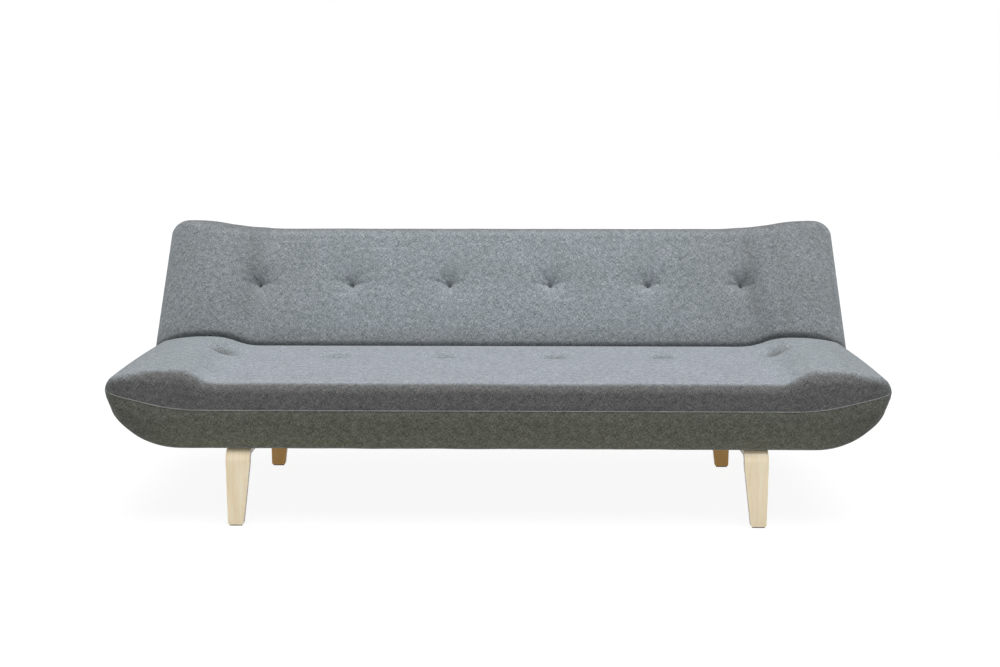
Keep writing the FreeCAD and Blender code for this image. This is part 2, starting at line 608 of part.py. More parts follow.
def pawl_pin():
    y, z = pawl_pin_place()
    shaft = rod(PAWL_PIN_RADIUS, (BACK_ARM_X, y, z), (SEAT_ARM_X, y, z))
    head = rod(5.0, (SEAT_ARM_X, y, z), (SEAT_ARM_X + 1.5, y, z))
    return shaft.fuse(head).removeSplitter()


def pawl_spring():
    """Leaf spring: foot on the arm, blade that presses on the back of the pawl."""
    y, z = pawl_pin_place()
    blade = 0.8
    x0 = BACK_ARM_X + PLATE
    foot = box(x0, x0 + 5, y + 14, y + 14 + blade, z - 22, z + 6)
    lip = box(x0, x0 + 5, y + PAWL_HUB + 1.5, y + 14, z + 6 - blade, z + 6)
    return foot.fuse(lip).removeSplitter()


def back_frame(screws):
    """Rails of the backrest's timber frame, laid flat."""
    near = PIVOT_Y + BACK_RAIL_IN
    far = PIVOT_Y + BACK_TOP_RAIL
    bottom_rail = box(-BACK_END_OUTER, BACK_END_OUTER, near, near + BOARD, BACK_BOARD_BASE, BACK_BOARD_TOP)
    top_rail = box(-BACK_END_OUTER, BACK_END_OUTER, far - BOARD, far, BACK_BOARD_BASE, BACK_BOARD_TOP)
    end_right = box(BACK_END_OUTER - BOARD, BACK_END_OUTER, near + BOARD, far - BOARD,
                    BACK_BOARD_BASE, BACK_BOARD_TOP)
    end_right = end_right.cut(screws)
    half = BOARD / 2
    cross = box(CROSS_RAIL_X - half, CROSS_RAIL_X + half, near + BOARD, far - BOARD,
                BACK_BOARD_BASE, BACK_BOARD_TOP - 8)
    return bottom_rail, top_rail, mirrored(end_right), end_right, both_sides([cross])


def back_straps():
    near = PIVOT_Y + BACK_RAIL_IN
    far = PIVOT_Y + BACK_TOP_RAIL
    straps = [box(x - STRAP_WIDTH / 2, x + STRAP_WIDTH / 2, near + 3, far - 3,
                  BACK_BOARD_TOP, BACK_BOARD_TOP + STRAP_THICKNESS) for x in STRAP_X]
    return both_sides(straps)


def twine(places, base):
    """A tie from the suspension up to the bottom of each tuft."""
    return [rod(TWINE_RADIUS, (x, y, base), (x, y, surface - TUFT_DEPTH + 0.8))
            for x, y, surface, slope in places]


def seat_upholstery():
    """Foam, covers, piping, felt, dust cover and twine of the seat."""
    side = -1
    reach = PIVOT_Y - FRONT_Y - SEAT_TUFT_FROM_FRONT
    tufts = tuft_places(SEAT_TUFTS, reach, side, seat_levels)
    outer = pad_solid(seat_levels, SEAT_HALF, SEAT_STATIONS, side, 0.0, tufts)
    inner = pad_solid(seat_levels, SEAT_HALF, SEAT_STATIONS, side, FABRIC, tufts)
    ties = twine(tufts, SUSPENSION_TOP - 4.0)
    pockets = hinge_pockets(side)
    skin = outer.cut(inner).cut(pockets + ties)
    lower_zone = under_seam(SEAT_SEAM_START, SEAT_HALF, SEAT_SEAM, SEAT_SEAM_TIP)
    upper = skin.cut(lower_zone)
    lower = skin.common(lower_zone)
    frame_end = SEAT_END_INNER + BOARD
    dust_zone = box(-frame_end, frame_end, FRONT_Y + SEAT_RAIL_IN + 4, PIVOT_Y - SEAT_REAR_RAIL - 4,
                    SEAT_BOTTOM - 1, SEAT_BOTTOM + FABRIC + 0.5)
    holes = both_sides([rod(BOLT_RADIUS + BOLT_CLEARANCE, (BOLT_X, y, 190), (BOLT_X, y, 210))
                        for y in bolt_rows(True) + bolt_rows(False)])
    dust_cover = lower.common(dust_zone).cut(holes)
    lower = lower.cut(dust_zone)
    frame_zone = box(-frame_end - 1, frame_end + 1, FRONT_Y + SEAT_RAIL_IN - 1, PIVOT_Y - HINGE_GAP,
                     SEAT_BOTTOM - 1, SUSPENSION_TOP)
    foam = inner.cut([frame_zone] + pockets + ties)
    felt = box(-750, 750, FRONT_Y + SEAT_RAIL_IN + 2, PIVOT_Y - SEAT_REAR_RAIL - 2,
               SUSPENSION_TOP - 4.0, SUSPENSION_TOP)
    return foam, upper, lower, dust_cover, felt, ties, seat_piping(outer)


def seat_piping(pad):
    """Corded seam along the front and round both tips, half sunk in the covers."""
    y = FRONT_Y + SEAT_FRONT - 0.8
    middle = (SEAT_SEAM_START + SEAT_HALF) / 2
    run = (SEAT_HALF - SEAT_SEAM_START) / 4

    def at(x):
        return FreeCAD.Vector(x, y, seat_seam(abs(x)) - SEAM_OFFSET)

    def arc(sign, first, through, last):
        return Part.Arc(at(sign * first), at(sign * through), at(sign * last)).toShape()

    edges = [arc(-1, SEAT_HALF, SEAT_HALF - run, middle),
             arc(-1, middle, SEAT_SEAM_START + run, SEAT_SEAM_START),
             Part.LineSegment(at(-SEAT_SEAM_START), at(SEAT_SEAM_START)).toShape(),
             arc(1, SEAT_SEAM_START, SEAT_SEAM_START + run, middle),
             arc(1, middle, SEAT_HALF - run, SEAT_HALF)]
    path = Part.Wire(edges)
    circle = Part.makeCircle(PIPING_RADIUS, path.Vertexes[0].Point, FreeCAD.Vector(1, 0, 0))
    tube = path.makePipeShell([Part.Wire(circle)], True, False)
    pieces = []
    for sign in (-1, 1):
        corner = at(sign * SEAT_HALF)
        pieces.append(Part.makeSphere(PIPING_RADIUS, corner))
        pieces.append(rod(PIPING_RADIUS, tuple(corner), (corner.x, PIVOT_Y - 40, corner.z)))
    return tube.fuse(pieces).cut(pad)


def back_upholstery():
    """Foam, covers, felt and twine of the backrest, laid flat."""
    side = 1
    tufts = tuft_places(BACK_TUFTS, BACK_TUFT_FROM_PIVOT, side, back_levels)
    outer = pad_solid(back_levels, BACK_HALF, BACK_STATIONS, side, 0.0, tufts)
    inner = pad_solid(back_levels, BACK_HALF, BACK_STATIONS, side, FABRIC, tufts)
    ties = twine(tufts, SUSPENSION_TOP - 4.0)
    pockets = hinge_pockets(side)
    skin = outer.cut(inner).cut(pockets + ties)
    rear_zone = under_seam(BACK_SEAM_START, BACK_HALF, BACK_SEAM, BACK_SEAM_TIP)
    front = skin.cut(rear_zone)
    rear = skin.common(rear_zone)
    frame_zone = box(-BACK_END_OUTER, BACK_END_OUTER, PIVOT_Y + HINGE_GAP,
                     PIVOT_Y + BACK_TOP_RAIL + 1, BACK_BOTTOM - 1, SUSPENSION_TOP)
    foam = inner.cut([frame_zone] + pockets + ties)
    felt = box(-740, 740, PIVOT_Y + BACK_RAIL_IN + 2, PIVOT_Y + BACK_TOP_RAIL - 2,
               BACK_BOARD_TOP + STRAP_THICKNESS, SUSPENSION_TOP)
    return foam, front, rear, felt, ties


def support_leg():
    """Right-hand support leg: tube with its pin hole, and its rubber foot, folded."""
    y = PIVOT_Y + SUPPORT_FROM_PIVOT
    z = SUPPORT_PIN_Z
    foot_y = y - SUPPORT_LENGTH
    tube = rod(SUPPORT_TUBE, (SUPPORT_X, foot_y + 3, z), (SUPPORT_X, y + SUPPORT_END, z))
    bore = rod(SUPPORT_TUBE - SUPPORT_WALL, (SUPPORT_X, foot_y + 2, z), (SUPPORT_X, y + SUPPORT_END + 1, z))
    hole = rod(SUPPORT_PIN + RUNNING_FIT, (SUPPORT_X - 20, y, z), (SUPPORT_X + 20, y, z))
    tube = tube.cut([bore, hole])
    foot = rod(SUPPORT_TUBE + 2.5, (SUPPORT_X, foot_y, z), (SUPPORT_X, foot_y + SUPPORT_FOOT, z))
    socket = rod(SUPPORT_TUBE, (SUPPORT_X, foot_y + 3, z), (SUPPORT_X, foot_y + SUPPORT_FOOT + 1, z))
    return tube, foot.cut(socket)


def support_bracket():
    """Plate on the backrest's rear face with two ears for the support leg's pin."""
    y = PIVOT_Y + SUPPORT_FROM_PIVOT
    z1 = BACK_BOTTOM
    plate = box(SUPPORT_X - 32, SUPPORT_X + 32, y - 22, y + 26, z1 - BRACKET_PLATE, z1)
    ears = []
    for x in (SUPPORT_X - EAR_INNER - EAR, SUPPORT_X + EAR_INNER):
        ear = box(x, x + EAR, y - 10, y + 10, SUPPORT_PIN_Z, z1 - BRACKET_PLATE)
        ear = ear.fuse(rod(10.0, (x, y, SUPPORT_PIN_Z), (x + EAR, y, SUPPORT_PIN_Z)))
        ears.append(ear)
    hole = rod(SUPPORT_PIN, (SUPPORT_X - 40, y, SUPPORT_PIN_Z), (SUPPORT_X + 40, y, SUPPORT_PIN_Z))
    return plate.fuse(ears).removeSplitter().cut(hole)


def support_pin():
    y = PIVOT_Y + SUPPORT_FROM_PIVOT
    z = SUPPORT_PIN_Z
    outer = EAR_INNER + EAR
    shaft = rod(SUPPORT_PIN, (SUPPORT_X - outer - 3, y, z), (SUPPORT_X + outer, y, z))
    head = rod(6.5, (SUPPORT_X + outer, y, z), (SUPPORT_X + outer + 3, y, z))
    return shaft.fuse(head).removeSplitter()


def support_screws():
    """Screws that hold the brackets, through the cover into the top rail."""
    y = PIVOT_Y + BACK_TOP_RAIL - BOARD / 2
    screws = []
    for x in (SUPPORT_X - 24, SUPPORT_X + 24):
        head = rod(4.5, (x, y, BACK_BOTTOM - BRACKET_PLATE - 2), (x, y, BACK_BOTTOM - BRACKET_PLATE))
        shank = rod(2.0, (x, y, BACK_BOTTOM - BRACKET_PLATE), (x, y, BACK_BOARD_BASE + 20))
        screws.append(head.fuse(shank).removeSplitter())
    return screws


def seat_nodes():
    screws = arm_screws(-1)
    front_rail, rear_rail, end_left, end_right, cross = seat_frame(screws)
    springs = both_sides([zigzag_spring(x) for x in SPRING_X])
    bolts, washers, nuts, boards = leg_fixings()
    foam, upper, lower, dust_cover, felt, ties, piping = seat_upholstery()
    felt = felt.cut(ties)
    arm = seat_arm(screws)
    disc = ratchet()
    pin = pivot_pin()
    nodes = {"seat_front_rail": front_rail, "seat_rear_rail": rear_rail,
             "seat_end_rail_left": end_left, "seat_end_rail_right": end_right,
             "seat_cross_rails": cross, "seat_corner_blocks": corner_blocks(),
             "seat_springs": springs, "seat_spring_clips": spring_clips(springs),
             "seat_felt": felt, "seat_foam": foam, "seat_upper_cover": upper,
             "seat_lower_cover": lower, "seat_piping": piping, "seat_dust_cover": dust_cover,
             "seat_tuft_ties": ties, "leg_boards": boards, "leg_bolts": bolts,
             "leg_washers": washers, "leg_tee_nuts": nuts, "leg_glides": leg_glides(),
             "hinge_seat_screws": both_sides(screws), "hinge_pin_clips": both_sides([pin_clip()])}
    for name, front in (("front", True), ("rear", False)):
        right = leg(front)
        nodes["leg_" + name + "_right"] = right
        nodes["leg_" + name + "_left"] = mirrored(right)
    for name, shape in (("hinge_seat_arm", arm), ("hinge_ratchet", disc), ("hinge_pivot_pin", pin)):
        nodes[name + "_right"] = shape
        nodes[name + "_left"] = mirrored(shape)
    return nodes


def back_nodes():
    """The backrest and what rides on it, laid flat."""
    screws = arm_screws(1)
    bracket_screws = both_sides(support_screws())
    bottom_rail, top_rail, end_left, end_right, cross = back_frame(screws)
    top_rail = top_rail.cut(bracket_screws)
    foam, front, rear, felt, ties = back_upholstery()
    rear = rear.cut(bracket_screws)
    felt = felt.cut(ties)
    tube, foot = support_leg()
    bracket = support_bracket().cut(support_screws())
    nodes = {"back_bottom_rail": bottom_rail, "back_top_rail": top_rail,
             "back_end_rail_left": end_left, "back_end_rail_right": end_right,
             "back_cross_rails": cross, "back_straps": back_straps(), "back_felt": felt,
             "back_foam": foam, "back_front_cover": front, "back_rear_cover": rear,
             "back_tuft_ties": ties, "hinge_back_screws": both_sides(screws),
             "support_brackets": both_sides([bracket]), "support_pins": both_sides([support_pin()]),
             "support_bracket_screws": bracket_screws}
    pieces = (("hinge_back_arm", back_arm(screws)), ("pawl", pawl()), ("pawl_pin", pawl_pin()),
              ("pawl_spring", pawl_spring()), ("support_leg", tube), ("support_foot", foot))
    for name, shape in pieces:
        nodes[name + "_right"] = shape
        nodes[name + "_left"] = mirrored(shape)
    return nodes


def as_one(shape):
    """A node's solids as one shape."""
    if isinstance(shape, list):
        return Part.makeCompound([solid for item in shape for solid in item.Solids])
    if len(shape.Solids) == 1:
        return shape.Solids[0]
    return Part.makeCompound(shape.Solids)


def main():
    os.makedirs("parts", exist_ok=True)
    nodes = {name: as_one(shape) for name, shape in seat_nodes().items()}
    for name, shape in back_nodes().items():
        turned = as_one(shape)
        turned.rotate(FreeCAD.Vector(0, PIVOT_Y, PIVOT_Z), FreeCAD.Vector(1, 0, 0), SITTING_TURN)
        nodes[name] = turned
    for name, shape in sorted(nodes.items()):
        size = shape.BoundBox
        print(name, "solids", len(shape.Solids), "valid", shape.isValid(),
              "volume", round(shape.Volume / 1000.0, 1), "cm3",
              "y", round(size.YMin, 1), round(size.YMax, 1), "z", round(size.ZMin, 1), round(size.ZMax, 1))
        shape.exportStep("parts/" + name + ".step")
    whole = Part.makeCompound(list(nodes.values())).BoundBox
    print(len(nodes), "nodes, box", [round(value, 2) for value in
          (whole.XMin, whole.XMax, whole.YMin, whole.YMax, whole.ZMin, whole.ZMax)])


main()
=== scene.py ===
import json
import math

import bmesh
import bpy
import numpy as np
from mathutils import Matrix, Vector, noise


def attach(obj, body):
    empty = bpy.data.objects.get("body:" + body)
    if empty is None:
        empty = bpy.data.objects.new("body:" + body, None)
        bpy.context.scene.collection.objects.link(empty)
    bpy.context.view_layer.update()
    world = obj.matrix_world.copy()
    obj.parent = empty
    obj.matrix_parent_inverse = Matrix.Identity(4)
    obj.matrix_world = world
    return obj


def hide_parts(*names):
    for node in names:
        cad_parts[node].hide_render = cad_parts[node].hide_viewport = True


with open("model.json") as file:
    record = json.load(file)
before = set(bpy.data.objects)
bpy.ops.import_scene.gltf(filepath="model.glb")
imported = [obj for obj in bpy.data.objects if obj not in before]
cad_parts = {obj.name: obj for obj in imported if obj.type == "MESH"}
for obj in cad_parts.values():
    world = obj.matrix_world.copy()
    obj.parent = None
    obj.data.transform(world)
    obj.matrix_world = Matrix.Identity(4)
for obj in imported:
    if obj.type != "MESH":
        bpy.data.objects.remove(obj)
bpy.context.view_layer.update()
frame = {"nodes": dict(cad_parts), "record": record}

# Looks of the click clack sofa bed. Lengths in this script are millimetres until a mesh is made.
# A pad is drawn laid flat: "reach" is the distance from the hinge line, and z is the height.
MM = 0.001

FRONT_Y = -410.3                 # outer face of the front legs
LEG_SPACING = 575.0              # from there to the outer face of the rear legs
LEG_X = 655.0                    # middle of each leg's flange under the seat
PIVOT_Y = FRONT_Y + 570.0
PIVOT_Z = 335.0
SITTING_TURN = 65.0              # degrees from laid flat to upright
PAD_TOP = 372.0
HINGE_GAP = 5.0                  # half the space between the pads at the hinge line
HINGE_EDGE = 30.0                # reach at which the top starts
WING_RISE = 31.0                 # the top's ends stand this much higher, from the foot over the run
WING_FOOT_X = 705.0
WING_RUN = 130.0
MITRE_ANGLE = math.radians(37.2)  # how far the facing edges are cut back from upright
MITRE_SLOPE = math.tan(MITRE_ANGLE)
MITRE_START = 1.5 / math.cos(MITRE_ANGLE) + 0.8
POCKET = (757.0, 789.0)          # walls of the hinge pockets
POCKET_DEPTH = 62.0
POCKET_FLOOR = 290.0
POCKET_ROOF = 362.0
PLY_PAIR = 2.9                   # thickness of a light and a dark ply of the legs together
# Angle in degrees, length and depth of the creases that run out from a tuft
TUFT_CREASES = ((52, 50, 3.0), (128, 50, 3.0), (8, 52, 3.2), (172, 52, 3.2), (-75, 26, 1.2))
CREASE_WIDTH = 4.2
LIT_SHADE_LEVEL = 0.93                # value of the painted light and shade at which the cloth takes its painted lit tint
rng = np.random.default_rng(7)   # for the spread of the tufts' creases


def ogee(run, rise, length):
    """Height of an S of two equal arcs, level at 0 and at length."""
    run = min(max(run, 0.0), length)
    radius = ((length / 2) ** 2 + (rise / 2) ** 2) / rise
    if run < length / 2:
        return radius - math.sqrt(radius ** 2 - run ** 2)
    return rise - radius + math.sqrt(radius ** 2 - (length - run) ** 2)


def falling_arc(run, drop, length):
    """Drop of an arc that starts level and has dropped this far at length."""
    if run <= 0:
        return 0.0
    radius = (length ** 2 + drop ** 2) / (2 * drop)
    return radius - math.sqrt(max(radius ** 2 - min(run, length) ** 2, 0.0))


def smooth(t):
    """From 0 to 1 without a corner at either end."""
    t = np.clip(t, 0.0, 1.0)
    return t * t * (3 - 2 * t)


class Seat:
    side = -1                        # it lies in front of the hinge line
    half = 987.0                     # half its length, without the flare
    crest = 850.0                    # where the wings are highest
    tip_top = 380.0
    tufts = (158.0, 457.0, 776.0)
    tuft_reach = 195.0
    dents = ((2.5, 15.0, 2.0), (19.0, 38.0, 2.2))  # a tuft's inner and outer dent: depth, radius, sharpness
    crease_share = 0.55
    flare = (17.0, 0.0, 550.0)       # how far its ends stand out near the hinge and near the free edge
    end_round = 24.0
    rounding = 0.38                  # radius of the free edge, as a share of the top cover's height
    rows = 96                        # points across the top
    free_edge = 540.0

    def levels(self, x):
        """Reach of the free edge, height of the underside and height of the seam at x."""
        bottom = 200.0 + falling_arc(x - 805.0, 135.0, 182.0)
        rise = min(max((x - 740.0) / 247.0, 0.0), 1.0)
        seam = 305.0 + 0.25 * ogee(x - 755.0, 45.0, 232.0) + 0.75 * 45.0 * rise ** 1.9
        length = 582.0 - falling_arc(x - 940.0, 26.0, 47.0)
        return length, bottom, seam


class Back:
    side = 1                         # it lies behind the hinge line
    half = 1010.0
    crest = 865.0
    tip_top = 362.0
    tufts = (151.0, 443.0, 720.0)
    tuft_reach = 211.0
    dents = ((9.5, 10.5, 1.2), (10.5, 33.0, 1.8))
    crease_share = 1.0
    flare = (11.0, -11.0, 370.0)
    end_round = 18.0
    rounding = 0.62
    rows = 78
    free_edge = 360.0

    def levels(self, x):
        """Reach of the free edge, height of the rear face and height of the seam at x."""
        bottom = 232.0 + falling_arc(x - 850.0, 108.0, 160.0)
        seam = 306.0 + ogee(x - 800.0, 46.0, 210.0)
        length = 401.0 + ogee(x - 680.0, 16.0, 220.0) - falling_arc(x - 958.0, 36.0, 52.0)
        return length, bottom, seam


def wing_top(x, pad):
    """Height of the plain top: level, up to the wing's crest, and down to the tip."""
    if x <= pad.crest:
        return PAD_TOP + ogee(x - WING_FOOT_X, WING_RISE, WING_RUN)
    high = PAD_TOP + WING_RISE
    return high - falling_arc(x - pad.crest, high - pad.tip_top, pad.half - pad.crest)


def line(a, b, count):
    """Points from a up to, but not at, b."""
    t = np.linspace(0.0, 1.0, count, endpoint=False)[:, None]
    return np.array(a, float) * (1 - t) + np.array(b, float) * t


def bent(a, corner, b, count):
    """A rounded corner from a to b."""
    t = np.linspace(0.0, 1.0, count, endpoint=False)[:, None]
    a, corner, b = (np.array(p, float) for p in (a, corner, b))
    return a * (1 - t) ** 2 + 2 * corner * t * (1 - t) + b * t ** 2


def crown_shares(pad):
    """Where the rows of the top lie, as shares from its free edge to its hinge edge, closer at the tufts."""
    samples = 2000
    reach = np.linspace(pad.free_edge, HINGE_EDGE, samples)
    weight = 1.0 + 2.2 * np.exp(-((reach - pad.tuft_reach) / 38.0) ** 2)
    total = np.cumsum(weight)
    total = (total - total[0]) / (total[-1] - total[0])
    rows = np.linspace(0.0, 1.0, pad.rows, endpoint=False)
    return np.interp(rows, total, np.linspace(0.0, 1.0, samples))


# Points in each stretch of a pad's outline. The top's stretch, the crown, lies between corner and fillet
COUNTS = {"hinge_low": 8, "base": 26, "edge": 6, "lower": 16, "upright": 8, "corner": 16, "fillet": 8,
          "mitre": 10, "hinge_high": 6}


def section(x, pad, shares):
    """One closed outline (reach, z) of a pad: down its hinge face, along the base, up and over the top."""
    x = abs(x)
    pocket = POCKET[0] < x < POCKET[1]
    length, bottom, seam = pad.levels(x)
    top = wing_top(x, pad)
    t = (x - (pad.half - pad.end_round)) / pad.end_round
    if t > 0:
        thin = math.sqrt(max(1 - min(t, 0.988) ** 2, 0.0))
        top = seam + (top - seam) * thin
        bottom = seam - (seam - bottom) * thin
    hinge = HINGE_GAP + falling_arc(x - (pad.half - 30.0), 10.0, 30.0)
    middle = min(max(300.0, bottom + 0.4 * (seam - bottom)), seam)
    tuck = 0.2 * (seam - bottom)
    belly = 0.07 * (seam - bottom)
    radius = pad.rounding * (top - seam)
    mitre_top = MITRE_START + MITRE_SLOPE * (top - PIVOT_Z)
    turn = PIVOT_Z + (hinge - MITRE_START) / MITRE_SLOPE
    mitre_top = max(mitre_top, hinge)
    turn = min(turn, top - 0.5 * (top - seam))
    edge = min(5.0, 0.12 * (seam - bottom))
    base_end = (length - tuck - 3 * edge, bottom)
    parts = []
    if pocket:
        parts.append(line((POCKET_DEPTH, middle), (POCKET_DEPTH, POCKET_FLOOR), COUNTS["hinge_low"] // 2))
        parts.append(line((POCKET_DEPTH, POCKET_FLOOR), (hinge, POCKET_FLOOR), COUNTS["hinge_low"] // 2))
    else:
        parts.append(line((hinge, middle), (hinge, bottom), COUNTS["hinge_low"]))
    parts.append(line((hinge, bottom), base_end, COUNTS["base"]))
    slant = np.array([tuck / 2 + belly, (seam - bottom) / 2])
    slant = slant / np.linalg.norm(slant)
    low_end = np.array([length - tuck, bottom]) + slant * edge
    parts.append(bent(base_end, (length - tuck, bottom), low_end, COUNTS["edge"]))
    parts.append(bent(low_end, (length + belly * 1.6, (bottom + seam) / 2), (length, seam), COUNTS["lower"]))
    parts.append(line((length, seam), (length, top - radius), COUNTS["upright"]))
    angle = np.linspace(0.0, math.pi / 2, COUNTS["corner"], endpoint=False)[:, None]
    parts.append(np.hstack([length - radius + radius * np.cos(angle), top - radius + radius * np.sin(angle)]))
    start = length - radius
    stop = mitre_top + 8.0
    reach = np.append(start + (stop - start) * shares, stop)
    bow = 1 - ((reach - (start + mitre_top) / 2) / ((start - mitre_top) / 2)) ** 2
    crown = 6.0 * min(1.0, (top - seam) / 60.0)
    over = np.stack([reach, top + crown * bow], axis=1)
    parts.append(over[:-1])
    ease = min(9.0, 0.3 * (top - turn))
    down = (mitre_top - MITRE_SLOPE * ease, top - ease)
    if mitre_top <= hinge:
        down = (hinge, top - ease)
    parts.append(bent(over[-1], (mitre_top, top), down, COUNTS["fillet"]))
    if pocket:
        mouth = (MITRE_START + MITRE_SLOPE * (POCKET_ROOF - PIVOT_Z), POCKET_ROOF)
        parts.append(line(down, mouth, 3))
        parts.append(line(mouth, (POCKET_DEPTH, POCKET_ROOF), COUNTS["mitre"] - 3))
        parts.append(line((POCKET_DEPTH, POCKET_ROOF), (POCKET_DEPTH, middle), COUNTS["hinge_high"]))
    else:
        parts.append(line(down, (hinge, turn), COUNTS["mitre"]))
        parts.append(line((hinge, turn), (hinge, middle), COUNTS["hinge_high"]))
    return np.vstack(parts)


def stations(pad):
    """Places of the sections along X: closer at the tufts and wings, doubled at the hinge pockets' walls."""
    straight = pad.half - pad.end_round
    x = 0.0
    places = [0.0]
    while x < straight:
        near = min(abs(x - tuft) for tuft in pad.tufts)
        step = 3.2 if near < 46 else 7.5
        if x > 800:
            step = min(step, 6.0)
        x += step
        places.append(x)
    places = [p for p in places if p < straight - 2 and min(abs(p - wall) for wall in POCKET) > 1.5]
    for wall in POCKET:
        places += [wall - 0.1, wall + 0.1]
    ends = straight + pad.end_round * np.sin(np.linspace(0, math.pi / 2, 9))
    places = sorted(places + list(ends))
    return np.array([-p for p in reversed(places[1:])] + places)


def grid_normals(points):
    """Unit normals of a grid of points whose rows are closed rings."""
    along = np.gradient(points, axis=0)
    ring = np.concatenate([points[:, -1:], points, points[:, :1]], axis=1)
    round_it = (ring[:, 2:] - ring[:, :-2]) / 2
    normal = np.cross(along, round_it)
    size = np.linalg.norm(normal, axis=2, keepdims=True)
    return normal / np.maximum(size, 1e-9)


def ripple(x, y, scale, seed):
    """Smooth noise from -1 to 1 over a grid of places."""
    flat = [noise.noise(Vector((a / scale, b / scale, seed))) for a, b in zip(x.ravel(), y.ravel())]
    return np.array(flat).reshape(x.shape)


def crease(x, reach, start, end, width, depth, widen):
    """A groove along a line that fades out towards its end."""
    a = np.array(start, float)
    b = np.array(end, float)
    run = b - a
    size = np.linalg.norm(run)
    run = run / size
    along = (x - a[0]) * run[0] + (reach - a[1]) * run[1]
    off = -(x - a[0]) * run[1] + (reach - a[1]) * run[0]
    share = np.clip(along / size, 0.0, 1.0)
    beyond = np.maximum(-along, 0.0) + np.maximum(along - size, 0.0)
    spread = width * (1 + widen * share)
    return -depth * (1 - smooth(share)) * np.exp(-(off / spread) ** 2 - (beyond / width) ** 2)


def top_relief(pad, x, reach):
    """How far the top fabric stands above (+) or is drawn below (-) the plain crowned form."""
    up = 1.0 if pad.side > 0 else -1.0
    relief = np.zeros_like(x)
    row = np.exp(-((reach - pad.tuft_reach) / 62.0) ** 2)
    inside = 1 - smooth((np.abs(x) - pad.tufts[-1]) / 90.0)
    relief -= 2.2 * row * inside
    for tuft in pad.tufts:
        for sign in (-1, 1):
            cx = sign * tuft
            inner = np.hypot(x - cx, (reach - pad.tuft_reach) * 1.05)
            outer = np.hypot((x - cx) * 0.9, reach - pad.tuft_reach - 3.0 * up)
            for away, (depth, radius, sharpness) in zip((inner, outer), pad.dents):
                relief -= depth * np.exp(-(away / radius) ** sharpness)
            leans = rng.uniform(-9, 9, len(TUFT_CREASES))
            stretches = rng.uniform(0.8, 1.25, len(TUFT_CREASES))
            for (angle, size, depth), lean, stretch in zip(TUFT_CREASES, leans, stretches):
                a = math.radians(angle + lean)
                length = size * stretch * 1.5
                start = (cx, pad.tuft_reach)
                end = (cx + math.cos(a) * length, pad.tuft_reach + up * math.sin(a) * length)
                relief += crease(x, reach, start, end, CREASE_WIDTH, pad.crease_share * depth, 1.3)
    relief += 1.3 * ripple(x, reach, 170.0, 3.0 + pad.side) + 0.55 * ripple(x, reach, 48.0, 9.0 + pad.side)
    sides = np.abs(x)
    plain = WING_RISE * smooth((sides - WING_FOOT_X) / WING_RUN)
    if pad.side > 0:
        # The wings rise more gently on the upper half, and a fold runs up and down from each outer tuft
        gentle = WING_RISE * smooth((sides - 655.0) / 235.0)
        relief += (gentle - plain) * smooth((reach - 150.0) / 170.0)
        for sign, depth in ((1, 4.6), (-1, 3.0)):
            relief += crease(x, reach, (sign * 738.0, 225.0), (sign * 744.0, 470.0), 19.0, depth * 1.3, 0.4)
            relief += crease(x, reach, (sign * 738.0, 215.0), (sign * 762.0, 40.0), 17.0, depth, 0.5)
    else:
        # The wings rise more steeply at the front, with a soft fold through each outer tuft
        quick = WING_RISE * smooth((sides - 708.0) / 84.0)
        relief += (quick - plain) * smooth((reach - 330.0) / 170.0)
        for sign in (-1, 1):
            relief += crease(x, reach, (sign * 774.0, 205.0), (sign * 752.0, 520.0), 22.0, 2.6, 0.6)
            relief += crease(x, reach, (sign * 774.0, 190.0), (sign * 762.0, 45.0), 20.0, 2.2, 0.5)
    return relief


def pad_grid(pad):
    """Points of a pad laid flat, in rings along X, and the column at which each stretch of a ring starts."""
    shares = crown_shares(pad)
    xs = stations(pad)
    outlines = np.array([section(x, pad, shares) for x in xs])
    marks = {}
    at = 0
    for name, count in COUNTS.items():
        if name == "fillet":
            marks["crown"] = at
            at += pad.rows
        marks[name] = at
        at += count
    reach = outlines[:, :, 0]
    z = outlines[:, :, 1]
    x = np.repeat(xs[:, None], at, axis=1)
    points = np.stack([x, reach, z], axis=2)
    normal = grid_normals(points)
    if normal[len(xs) // 2, marks["crown"] + pad.rows // 2][2] < 0:
        normal = -normal
    column = np.arange(at)
    # How far each column follows the top's relief: from nothing at the seam, and to nothing at the hinge
    since_seam = column - marks["upright"]
    fade = np.where(column < marks["corner"], smooth(since_seam / 14.0), smooth(since_seam / 22.0))
    fade[marks["crown"]:] = smooth((marks["fillet"] - column[marks["crown"]:]) / 9.0)
    thin = smooth((pad.half - np.abs(x)) / 70.0)
    relief = top_relief(pad, x, reach) * fade[None, :] * thin
    # Puckers along the seam, closer ones and fanned folds at the tips, and a soft unevenness below it
    seam_run = np.abs(since_seam)
    pucker = np.exp(-(seam_run / 3.2) ** 2)[None, :]
    wave = np.sin(x / 2.9 + 2.0 * ripple(x, reach * 0, 60.0, 4.0)) * 0.35
    gather = smooth((np.abs(x) - 860.0) / 110.0)
    relief += pucker * wave * (0.6 + 1.8 * gather)
    relief -= 1.5 * np.exp(-(seam_run / 0.9) ** 2)[None, :]
    lower = ((column > marks["lower"] - 5) & (column < marks["upright"])).astype(float)[None, :]
    relief += lower * 0.9 * ripple(x, z, 90.0, 21.0)
    fan = np.sin(np.arctan2(z - 350.0, 1000.0 - np.abs(x)) * 34.0) * 0.7
    relief += lower * gather * fan
    # The top is moved straight up and down, so that its rows stay straight at the doubled sections
    normal[:, marks["crown"]:marks["fillet"]] = (0.0, 0.0, 1.0)
    return points + normal * relief[:, :, None], marks


def flare_at(pad, reach):
    """How much further out the pad's end stands at this reach."""
    near, far, length = pad.flare
    return near + (far - near) * (reach - HINGE_EDGE) / length


